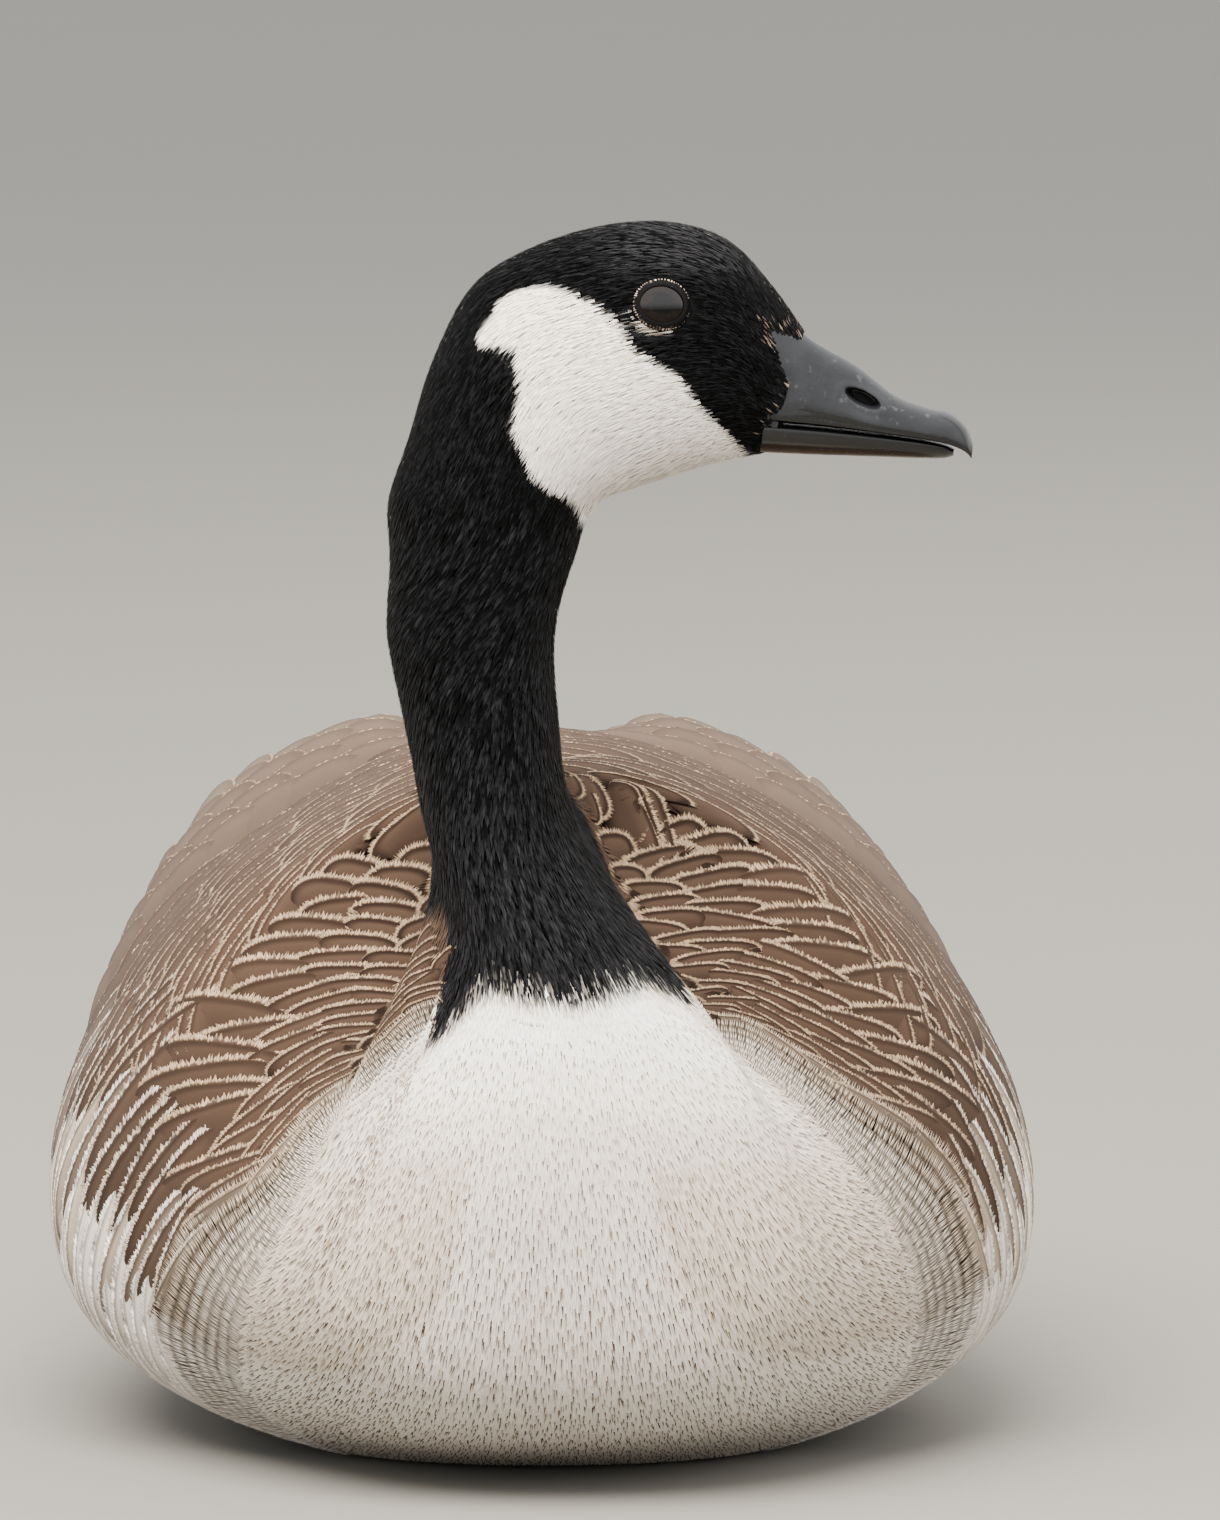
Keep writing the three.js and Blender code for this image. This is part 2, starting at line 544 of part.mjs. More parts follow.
// A straight vane between two points, as wide as the vector across it, which is level or slopes with it.
function bladeVane(root, tip, across, wide, { thick = VANE_THICK, sag = 0, camber = 0.8 } = {}) {
  const ahead = tip.clone().sub(root).normalize();
  const side = across.clone().addScaledVector(ahead, -across.dot(ahead)).normalize();
  const over = side.clone().cross(ahead);
  if (over.z < 0) over.negate();
  const [top, low] = [[], []];
  for (const { t, w } of OUTLINE) {
    for (const j of [-1, 0, 1]) {
      const p = root.clone().lerp(tip, t).addScaledVector(side, (j * w * wide) / 2);
      p.addScaledVector(over, camber * (1 - j * j) + 4 * sag * t * (1 - t));
      top.push(p.clone().addScaledVector(over, thick / 2));
      low.push(p.clone().addScaledVector(over, -thick / 2));
    }
  }
  return slab(top, low, 3);
}

// Each tier of the wing, from the shoulder back: its inner and outer feather's tip, its length and width.
const TIERS = {
  medianCoverts: { count: 6, tips: [[-14, 24], [4, 66]], long: 48, wide: 25, fan: 3 },
  greaterCoverts: { count: 6, tips: [[36, 22], [50, 67]], long: 62, wide: 27, fan: 4 },
  secondaries: { count: 5, tips: [[118, 50], [150, 72]], long: 88, wide: 22, fan: 3 },
  tertials: { count: 5, tips: [[202, 19], [174, 57]], long: 106, wide: 27, fan: 5, bulge: 8 },
};
const PRIMARIES = { count: 5, root: [57, 124, 152], tip: [13, 330, 117], wide: 19, shorter: 22, outward: 4.4, above: 2.7 };
const SHELL_ANGLES = [11, 22, 33, 44, 56, 67, 78];
const SHELL_UNDER = 2; // how far the shell's face lies below the vanes

function wingShell(side) {
  const [top, low] = [[], []];
  const run = trunkPlaces.filter((p) => p >= placeAt(152) && p <= placeAt(-100));
  for (const [i, at] of run.entries()) {
    for (const [j, degrees] of SHELL_ANGLES.entries()) {
      const slant = 0.85 * (j / (SHELL_ANGLES.length - 1)) ** 2;
      const place = i < 4 ? lerp(at, run[4], slant) : at;
      const angle = -side * rad(degrees);
      const n = normalOf(wingPoint, place, angle);
      const deep = recess(place, angle);
      const p = wingPoint(place, angle);
      low.push(p.clone().addScaledVector(n, -Math.max(deep - 2 * GAP, 0.4)));
      top.push(p.clone().addScaledVector(n, -Math.min(SHELL_UNDER, 0.35 * deep)));
    }
  }
  return slab(top, low, SHELL_ANGLES.length);
}

function wing(side) {
  const parts = [wingShell(side)];
  for (const tier of Object.values(TIERS)) {
    for (let i = 0; i < tier.count; i++) {
      const u = i / (tier.count - 1);
      const bulge = (tier.bulge ?? 0) * 4 * u * (1 - u);
      const tip = [lerp(tier.tips[0][0], tier.tips[1][0], u) + bulge + vary(2.5), lerp(tier.tips[0][1], tier.tips[1][1], u)];
      const long = tier.long * (1 + vary(0.04));
      const root = [tip[0] - long, Math.min(tip[1] + lerp(tier.fan, -1, u), 68)];
      parts.push(wingVane(side, { root, tip, wide: tier.wide, sunk: -3.4, raised: 1.1, tilt: 1 }));
    }
  }
  for (let i = 0; i < PRIMARIES.count; i++) {
    const { root, tip, wide, shorter, outward, above } = PRIMARIES;
    const from = vec(side * root[0], root[1], root[2] + 0.4 * i);
    const to = vec(side * (tip[0] + outward * i), tip[1] - shorter * i, tip[2] + (above + 1.9) * i);
    parts.push(bladeVane(from, to, vec(side * 0.8, 0.1, -0.6), wide, { sag: -1.5, camber: 1 }));
  }
  return joined(parts).subtract(trunkLoft(GAP));
}
eachSide((name, side) => {
  addNode(`wing_${name}`, wing(side), MATERIALS.brown);
  addNode(`leg_${name}`, leg(side).subtract(trunkLoft(GAP)).subtract(foot(side, GAP)), MATERIALS.web);
  addNode(`foot_${name}`, foot(side), MATERIALS.web);
});

// Tail: the flesh of its root, then a fan of feathers, the middle ones uppermost.
const FAN = { count: 12, open: 21, wide: 15.5, root: [0, 262, 104.5] };
const tailLoft = loft(ringsOf(bodyPoint, spread(placeAt(292), placeAt(250), 5), 20));
const [, tailFlesh] = splitAt(tailLoft, vec(0, -1, 0), vec(0, 262, 0));
const tailParts = [tailFlesh];
for (let i = 0; i < FAN.count; i++) {
  const middle = (FAN.count - 1) / 2;
  const out = (i - middle) / middle;
  const angle = rad(out * FAN.open);
  const long = (TAIL_TIP - FAN.root[1]) * (1 - 0.08 * out * out) + vary(0.6);
  const root = vec(...FAN.root).add(vec(16 * out, 5, 2.6 - 3.6 * Math.abs(out)));
  const tip = vec(...FAN.root).add(vec(1.3 * long * Math.sin(angle), long * Math.cos(0.7 * angle), 2.4 - 5.6 * Math.abs(out)));
  const over = i % 2 ? 0.35 : -0.35;
  root.z += over;
  tip.z += over;
  tailParts.push(bladeVane(root, tip, vec(1, 0, -0.16 * Math.sign(out)), FAN.wide, { camber: 0.6 }));
}
addNode("tail", joined(tailParts), MATERIALS.black);

export default goose;
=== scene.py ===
# A Canada goose, life-size and still, sitting on its belly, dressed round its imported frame.
# Lengths in the tables are millimetres. The bird faces -Y and its right side is -X.
import math

import bmesh
import bpy
import numpy as np
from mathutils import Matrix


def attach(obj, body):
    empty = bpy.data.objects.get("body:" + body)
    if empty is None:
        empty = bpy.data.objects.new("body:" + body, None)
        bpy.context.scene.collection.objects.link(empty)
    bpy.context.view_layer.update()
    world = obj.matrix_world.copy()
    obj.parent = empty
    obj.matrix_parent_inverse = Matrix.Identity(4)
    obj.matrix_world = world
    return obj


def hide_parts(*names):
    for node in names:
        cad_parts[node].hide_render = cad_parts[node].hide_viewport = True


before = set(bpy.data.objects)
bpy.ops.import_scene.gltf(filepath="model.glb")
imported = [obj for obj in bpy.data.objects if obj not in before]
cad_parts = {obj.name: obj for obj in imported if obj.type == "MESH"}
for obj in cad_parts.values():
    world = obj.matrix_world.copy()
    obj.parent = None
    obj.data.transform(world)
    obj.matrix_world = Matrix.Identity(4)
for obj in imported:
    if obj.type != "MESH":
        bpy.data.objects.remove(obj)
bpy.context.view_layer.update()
draw = np.random.default_rng(11)
mm = 0.001
print("frame loaded")

# ---- the bird's form, the same loft of cross-sections as in the frame
bird = {
    "halfWidth": 126,
    "floatLine": 60,  # the height where it is widest
    "backHeight": 177,
    "tailTip": 346,
    "cover": 8,  # thickness of the folded wing over the trunk
    "roofLift": 18,  # how far the wing stands clear of the rump
    "heading": 86,  # degrees the head turns to the left
    "headPlace": (0.7, -132.0),
    "coatDepth": 3.2,  # over the trunk's skin
    "fineDepth": 1.2,  # over the head's and neck's
    "breastDepth": 0.7,
}


def step(low, high, x):
    t = np.clip((np.asarray(x, float) - low) / (high - low), 0, 1)
    return t * t * (3 - 2 * t)


def between(rise, fall, x):  # 1 between two slopes, each given as where it starts and ends
    return step(*rise, x) * (1 - step(*fall, x))


def lerp(a, b, t):
    return a + (b - a) * t


def unit(v):
    return v / np.maximum(np.linalg.norm(v, axis=-1, keepdims=True), 1e-9)


up = np.array([0.0, 0.0, 1.0])
turned = math.radians(bird["heading"])
headForward = np.array([math.sin(turned), -math.cos(turned), 0.0])
headRight = np.cross(headForward, up)


def inHead(f, r, z):
    f, r, z = np.broadcast_arrays(np.asarray(f, float), r, z)
    base = np.stack([f * 0 + bird["headPlace"][0], f * 0 + bird["headPlace"][1], z], -1)
    return base + f[..., None] * headForward + r[..., None] * headRight


def trunk(y, top, low, wide, split, **more):
    return ring([0, y, top], [0, y, low], wide, split, **more)


def ring(top, low, wide, split, heading=0.0, pinch=0.0, roundTop=2.0, roundLow=2.2):
    return [*top, *low, wide, split, heading, pinch, roundTop, roundLow]


def neckRing(middle, half, drop, heading, wide):
    back = half * np.array([-math.sin(math.radians(heading)), math.cos(math.radians(heading)), 0])
    rise = np.array([0, 0, drop])
    return ring(middle + back + rise, middle - back - rise, wide, 0.5, heading=heading, roundLow=2.0)


def skull(top, low, wide, split):
    return ring(inHead(top[0], 0, top[1]), inHead(low[0], 0, low[1]), wide, split,
                heading=bird["heading"], roundLow=2.0)


wide, high = bird["halfWidth"], bird["backHeight"]
floatSplit = (bird["floatLine"] + 4) / (high + 4)
sections = {
    "tailTip": trunk(bird["tailTip"], 105, 101, 42, 0.5),
    "tailMiddle": trunk(300, 108.5, 99.5, 38, 0.5),
    "tailRoot": trunk(262, 119, 86, 37, 0.55),
    "vent": trunk(225, 132, 56, 60, 0.52, roundTop=2.1),
    "rump": trunk(180, 147, 25, 88, 0.5, roundTop=2.2),
    "hips": trunk(120, 161, 3, 0.88 * wide, 0.43, roundTop=2.0, roundLow=2.3),
    "loin": trunk(60, 171, -2, 0.97 * wide, 0.38, roundTop=1.8, roundLow=2.4),
    "middle": trunk(0, high, -4, wide, floatSplit, roundTop=1.75, roundLow=2.5),
    "shoulders": trunk(-55, high + 1, -4, 0.96 * wide, floatSplit, roundTop=1.8, roundLow=2.5),
    "breastBack": trunk(-95, high, -1, 0.81 * wide, 0.355, roundTop=1.9, roundLow=2.4),
    "breast": ring([-5, -101, 178], [0, -169, 24], 66, 0.29, pinch=0.16),
    "breastTop": ring([-9, -104, 181], [-1, -186, 70], 44, 0.37, pinch=0.4),
    "neckRoot": ring([-18, -107, 185], [-3, -182.5, 124], 22, 0.4, pinch=0.05, roundLow=2.0),
    "lowerNeck": ring([-20, -110, 191], [-13.5, -171, 163], 19, 0.47, heading=5, roundLow=2.0),
    "lowNeck": neckRing(np.array([-20.2, -136, 199]), 24, 4, 20, 19.4),
    "middleNeck": neckRing(np.array([-21.9, -134, 216]), 22, 1.5, 46, 20),
    "highNeck": neckRing(np.array([-19.0, -132, 236]), 23.4, 1.5, 75, 20.3),
    "throat": skull([-43.2, 249], [6.5, 243.5], 20.5, 0.5),
    "nape": skull([-38.3, 264], [10.5, 248.8], 20.8, 0.49),
    "headBack": skull([-32.3, 283.5], [15, 250.8], 21.2, 0.48),
    "crownBack": skull([-22, 303], [20.5, 252.6], 21.3, 0.47),
    "crown": skull([-6.5, 312.8], [27, 254.6], 20.8, 0.47),
    "temple": skull([12.5, 318.4], [32.8, 256.6], 19.6, 0.48),
    "brow": skull([29, 318.8], [39, 258.4], 18, 0.5),
    "lores": skull([42.5, 314.2], [44.5, 259.6], 15.4, 0.5),
    "forehead": skull([52.5, 303.8], [48.5, 260.4], 13.2, 0.48),
    "billRoot": skull([61.3, 291.6], [52.5, 261], 11.9, 0.46),
}
fields = np.array([[float(x) for x in s] for s in sections.values()])
middles = (fields[:, 0:3] + fields[:, 3:6]) / 2
places = np.concatenate([[0], np.cumsum(np.linalg.norm(np.diff(middles, axis=0), axis=1))])
placeOf = dict(zip(sections, places))
ahead = np.minimum(np.arange(len(places)) + 1, len(places) - 1)
behind = np.maximum(np.arange(len(places)) - 1, 0)
slopes = (fields[ahead] - fields[behind]) / (places[ahead] - places[behind])[:, None]


def sectionAt(place):
    i = np.clip(np.searchsorted(places, place, side="right") - 1, 0, len(places) - 2)
    span = (places[i + 1] - places[i])[..., None]
    t = (place - places[i])[..., None] / span
    t2, t3 = t * t, t * t * t
    return ((2 * t3 - 3 * t2 + 1) * fields[i] + (3 * t2 - 2 * t3) * fields[i + 1]
            + span * ((t3 - 2 * t2 + t) * slopes[i] + (t3 - t2) * slopes[i + 1]))


# A point of the outer surface. Angle 0 is the back's midline, and it grows to the right side.
def formPoint(place, angle):
    place, angle = np.broadcast_arrays(np.asarray(place, float), np.asarray(angle, float))
    s = sectionAt(place)
    top, low = s[..., 0:3], s[..., 3:6]
    wide, split, heading, pinch, roundTop, roundLow = [s[..., k] for k in range(6, 12)]
    back = top - low
    high = np.linalg.norm(back, axis=-1)
    back = back / high[..., None]
    heading = np.radians(heading)
    right = np.stack([-np.cos(heading), -np.sin(heading), heading * 0], -1)
    right = unit(right - (right * back).sum(-1, keepdims=True) * back)
    c, d = np.cos(angle), np.sin(angle)
    power = 2 / np.where(c > 0, roundTop, roundLow)
    narrow = np.where(c > 0, 1 - pinch * step(0, 0.5, c), 1)
    sideways = wide * narrow * np.sign(d) * np.abs(d) ** power
    upward = high * np.where(c > 0, 1 - split, split) * np.sign(c) * np.abs(c) ** power
    middle = low + (top - low) * split[..., None]
    return middle + right * sideways[..., None] + back * upward[..., None]


def lowLineOf(place):  # how far behind the origin a cross-section's low point is
    return sectionAt(np.asarray(place, float))[..., 4]


trunkPlaces = np.linspace(0, placeOf["breastBack"], 400)
trunkLines = lowLineOf(trunkPlaces)


def placeAt(y):
    return np.interp(-np.asarray(y, float), -trunkLines, trunkPlaces)


def roofed(place, angle):  # how far the folded wing stands over the trunk
    over = between((2, 24), (62, 96), np.degrees(np.abs(angle)))
    return bird["roofLift"] * step(40, 200, lowLineOf(place)) * over


def recessed(place, angle):  # how much the trunk gives way to the wing's thickness
    over = between((6, 20), (70, 84), np.degrees(np.abs(angle)))
    deep = bird["cover"] * between((-62, -42), (150, 205), lowLineOf(place)) * over
    return np.where(place > placeOf["breastBack"] + 20, 0, deep)


# The share of the way round a cross-section, from the back's midline 0 to the belly's 1, minus on the left.
sideSteps = 256
tablePlaces = np.linspace(0, places[-1], 1000)
tableShares = np.linspace(-1, 1, 2 * sideSteps + 1)
sideShares = tableShares[sideSteps:]
halfTurn = math.pi * (0.5 - 0.5 * np.cos(np.linspace(0, math.pi, 361)))
outline = formPoint(tablePlaces[:, None], halfTurn[None, :])
walked = np.cumsum(np.linalg.norm(np.diff(outline, axis=1), axis=2), axis=1)
walked = np.concatenate([np.zeros((len(tablePlaces), 1)), walked], axis=1)
halfAngles = np.array([np.interp(sideShares * w[-1], w, halfTurn) for w in walked])
angles = np.concatenate([-halfAngles[:, :0:-1], halfAngles], axis=1)
bare = formPoint(tablePlaces[:, None], angles)  # without the folded wings' roof over the rump
coat = bare.copy()
coat[..., 2] += roofed(tablePlaces[:, None], angles)


def surfaceOf(points):
    alongIt = np.gradient(points, tablePlaces, axis=0)
    roundIt = np.gradient(points, tableShares, axis=1)
    return {"points": points, "along": alongIt, "around": roundIt,
            "normals": unit(np.cross(roundIt, alongIt)), "speeds": np.linalg.norm(alongIt, axis=2)}


coatSurface, bareSurface = surfaceOf(coat), surfaceOf(bare)


def oneRound(share):  # a share past the belly's line comes in again from the other side
    return (np.asarray(share, float) + 1) % 2 - 1


def fromTable(table, place, share):
    x = np.clip(np.asarray(place, float) / places[-1], 0, 1) * (len(tablePlaces) - 1)
    y = (oneRound(share) + 1) / 2 * (len(tableShares) - 1)
    i, j = np.minimum(x.astype(int), len(tablePlaces) - 2), np.minimum(y.astype(int), len(tableShares) - 2)
    x, y = x - i, y - j
    if table.ndim == 3:
        x, y = x[..., None], y[..., None]
    return ((table[i, j] * (1 - y) + table[i, j + 1] * y) * (1 - x)
            + (table[i + 1, j] * (1 - y) + table[i + 1, j + 1] * y) * x)


def pointOn(surface, place, share, height=0.0):
    points = fromTable(surface["points"], place, share)
    if np.ndim(height) or height:
        points = points + unit(fromTable(surface["normals"], place, share)) * np.asarray(height)[..., None]
    return points


def speedOn(surface, place, share):
    return np.maximum(fromTable(surface["speeds"], place, share), 0.3)


def angleAt(place, share):
    return fromTable(angles, place, share)


def shareAt(place, degrees):  # on the trunk, with the sign of the side
    last = len(tablePlaces) - 1
    rows = np.clip(np.asarray(place, float) / places[-1] * last, 0, last).astype(int)
    rows, turns = np.broadcast_arrays(rows, np.radians(np.abs(degrees)))
    found = [np.interp(t, halfAngles[k], sideShares) for t, k in zip(turns.flat, rows.flat)]
    return np.sign(degrees) * np.reshape(found, turns.shape)


# The place and share whose point on the surface is nearest each target
def settled(surface, place, share, target, rounds=3):
    for _ in range(rounds):
        a, b = stepsFor(surface, place, share, target - pointOn(surface, place, share))
        place, share = place + np.clip(a, -9, 9), share + np.clip(b, -0.09, 0.09)
    return place, share


def gridOf(surface, place, share):  # the ways along and round the bird, and their products
    along, around = fromTable(surface["along"], place, share), fromTable(surface["around"], place, share)
    return along, around, (along * along).sum(-1), (along * around).sum(-1), (around * around).sum(-1)


# The steps in place and share that a move along the surface takes
def stepsFor(surface, place, share, way):
    along, around, aa, ab, bb = gridOf(surface, place, share)
    wa, wb = (way * along).sum(-1), (way * around).sum(-1)
    whole = np.maximum(aa * bb - ab * ab, 0.02 * bb)
    return (bb * wa - ab * wb) / whole, (aa * wb - ab * wa) / whole


print("form ready")


# ---- making meshes and finishes
def meshFrom(bm, name):
    mesh = bpy.data.meshes.new(name)
    bm.to_mesh(mesh)
    bm.free()
    return mesh


def addToScene(name, data):
    thing = bpy.data.objects.new(name, data)
    bpy.context.scene.collection.objects.link(thing)
    return thing


def putMesh(name, points, triangles, finish, maps=None, shades=None, smooth=True):
    mesh = bpy.data.meshes.new(name)
    count = len(triangles)
    mesh.vertices.add(len(points))
    mesh.vertices.foreach_set("co", (np.asarray(points) * mm).astype(np.float32).ravel())
    mesh.loops.add(3 * count)
    mesh.loops.foreach_set("vertex_index", np.asarray(triangles, np.int32).ravel())
    mesh.polygons.add(count)
    mesh.polygons.foreach_set("loop_start", np.arange(0, 3 * count, 3, dtype=np.int32))
    mesh.polygons.foreach_set("use_smooth", np.broadcast_to(smooth, count))
    mesh.update(calc_edges=True)
    return finishPiece(name, mesh, finish, maps, shades)


def finishPiece(name, mesh, finish, maps=None, shades=None):
    for key, corners in (maps or {}).items():
        mesh.uv_layers.new(name=key).data.foreach_set("uv", np.asarray(corners, np.float32).ravel())
    for key, values in (shades or {}).items():
        kept = mesh.attributes.new(key, "FLOAT", "POINT")
        kept.data.foreach_set("value", np.asarray(values, np.float32).ravel())
    mesh.materials.append(finish)
    piece = addToScene(name, mesh)
    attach(piece, "root")
    return piece


class Wire:  # a socket whose sums become Math nodes
    def __init__(self, finish, socket):
        self.finish = finish
        self.socket = socket

    def maths(self, operation, *values, clamp=False):
        settings = {"operation": operation, "use_clamp": clamp}
        return self.finish.node("ShaderNodeMath", settings, dict(enumerate(values)))[0]

    def __add__(self, other):
        return self.maths("ADD", self, other)

    def __sub__(self, other):
        return self.maths("SUBTRACT", self, other)

    def __mul__(self, other):
        return self.maths("MULTIPLY", self, other)

    def __truediv__(self, other):
        return self.maths("DIVIDE", self, other)

    def __rsub__(self, other):
        return self.maths("SUBTRACT", other, self)

    __radd__ = __add__
    __rmul__ = __mul__

    def clamped(self):
        return self.maths("ADD", self, 0.0, clamp=True)

    def larger(self, other):
        return self.maths("MAXIMUM", self, other)

    def smaller(self, other):
        return self.maths("MINIMUM", self, other)

    def size(self):
        return self.maths("ABSOLUTE", self)

    def step(self, low, high):
        values = {"Value": self, "From Min": low, "From Max": high}
        return self.finish.node("ShaderNodeMapRange", {"interpolation_type": "SMOOTHSTEP"}, values)[0]


class Made:  # a node's outputs, by name or number
    def __init__(self, finish, node):
        self.finish = finish
        self.node = node

    def __getitem__(self, key):
        return Wire(self.finish, self.node.outputs[key])


class Finish:
    def __init__(self, name, **steady):
        self.material = bpy.data.materials.new(name)
        self.material.use_nodes = True
        self.tree = self.material.node_tree
        self.tree.nodes.clear()
        self.shader = self.node("ShaderNodeBsdfPrincipled", {}, steady)
        self.node("ShaderNodeOutputMaterial", {}, {"Surface": self.shader["BSDF"]})
        self.place = self.node("ShaderNodeTexCoord")["Object"]

    def node(self, kind, settings=None, values=None):
        made = self.tree.nodes.new(kind)
        for key, value in (settings or {}).items():
            setattr(made, key, value)
        for key, value in (values or {}).items():
            if isinstance(value, Wire):
                self.tree.links.new(value.socket, made.inputs[key])
            else:
                made.inputs[key].default_value = value
        return Made(self, made)

    def feed(self, **wires):  # names without spaces, as baseColor
        sockets = {"baseColor": "Base Color", "roughness": "Roughness", "normal": "Normal",
                   "coat": "Coat Weight"}
        for key, wire in wires.items():
            self.tree.links.new(wire.socket, self.shader.node.inputs[sockets[key]])

    def shade(self, key):
        return self.node("ShaderNodeAttribute", {"attribute_name": key})["Fac"]

    def mix(self, factor, a, b):
        a, b = ((*c, 1) if isinstance(c, tuple) else c for c in (a, b))
        return self.node("ShaderNodeMix", {"data_type": "RGBA"}, {0: factor, 6: a, 7: b})[2]

    def noise(self, scale, detail=3.0, rough=0.55, place=None):
        values = {"Vector": place or self.place, "Scale": scale, "Detail": detail, "Roughness": rough}
        return self.node("ShaderNodeTexNoise", {}, values)["Fac"]

    def bump(self, height, strength, distance):
        values = {"Strength": strength, "Distance": distance, "Height": height}
        return self.node("ShaderNodeBump", {}, values)["Normal"]

    def join(self, x, y, z):
        return self.node("ShaderNodeCombineXYZ", {}, {0: x, 1: y, 2: z})[0]


def colour(r, g, b):  # from the usual 0 to 255
    return tuple(((c / 255 + 0.055) / 1.055) ** 2.4 if c > 10 else c / 255 / 12.92 for c in (r, g, b))


# ---- camera, floor and light
studio = {
    "lens": 473.7, "azimuth": -2.0, "elevation": 6, "away": 5000, "lookAt": (12.5, -150, 185.3),
    "floor": (112, 110, 104), "floorSize": 12, "floorDrop": 0.4, "sky": (213, 213, 213), "skyStrength": 2.7,
    "lampColour": (1.0, 0.95, 0.88),
    "lamps": {  # place and aim in metres, width, watts
        "key": ((-0.5, -1.1, 2.3), (0, -0.05, 0.16), 2.6, 420),
        "fill": ((2.2, -1.8, 1.6), (0, -0.1, 0.15), 2.6, 50),
        "back": ((0.9, 2.0, 1.9), (0, 0.0, 0.15), 1.4, 70),
    },
}


def makeStudio():
    camera = addToScene("camera", bpy.data.cameras.new("camera"))
    camera.data.lens = studio["lens"]
    camera.data.sensor_width = 36
    camera.data.clip_end = 50
    az, el = math.radians(studio["azimuth"]), math.radians(studio["elevation"])
    away = np.array([math.sin(az) * math.cos(el), -math.cos(az) * math.cos(el), math.sin(el)])
    camera.location = (np.array(studio["lookAt"]) + studio["away"] * away) * mm
    camera.rotation_euler = (math.pi / 2 - el, 0, az)
    bpy.context.scene.camera = camera

    bm = bmesh.new()
    bmesh.ops.create_grid(bm, x_segments=2, y_segments=2, size=studio["floorSize"])
    bmesh.ops.translate(bm, verts=bm.verts, vec=(0, 0, -studio["floorDrop"] * mm))
    floorFinish = Finish("floor matt", Roughness=0.9)
    speckle = floorFinish.noise(14, 2)
    pale = colour(*studio["floor"])
    floorFinish.feed(baseColor=floorFinish.mix(speckle * 0.35, pale, tuple(0.93 * c for c in pale)))
    mesh = meshFrom(bm, "floor")
    mesh.materials.append(floorFinish.material)
    addToScene("floor", mesh)

    world = bpy.data.worlds.new("sky")
    world.use_nodes = True
    background = world.node_tree.nodes["Background"]
    background.inputs["Color"].default_value = (*colour(*studio["sky"]), 1)
    background.inputs["Strength"].default_value = studio["skyStrength"]
    bpy.context.scene.world = world
    for name, (at, aim, size, power) in studio["lamps"].items():
        lamp = addToScene(name, bpy.data.lights.new(name, "AREA"))
        lamp.data.shape = "DISK"
        lamp.data.size = size
        lamp.data.energy = power
        lamp.data.color = studio["lampColour"]
        lamp.visible_glossy = False  # no round lamps mirrored in the eyes
        lamp.location = at
        way = np.array(at) - np.array(aim)
        tilt, turn = math.acos(way[2] / np.linalg.norm(way)), math.atan2(way[1], way[0])
        lamp.rotation_euler = (tilt, 0, turn + math.pi / 2)


makeStudio()
print("studio ready")

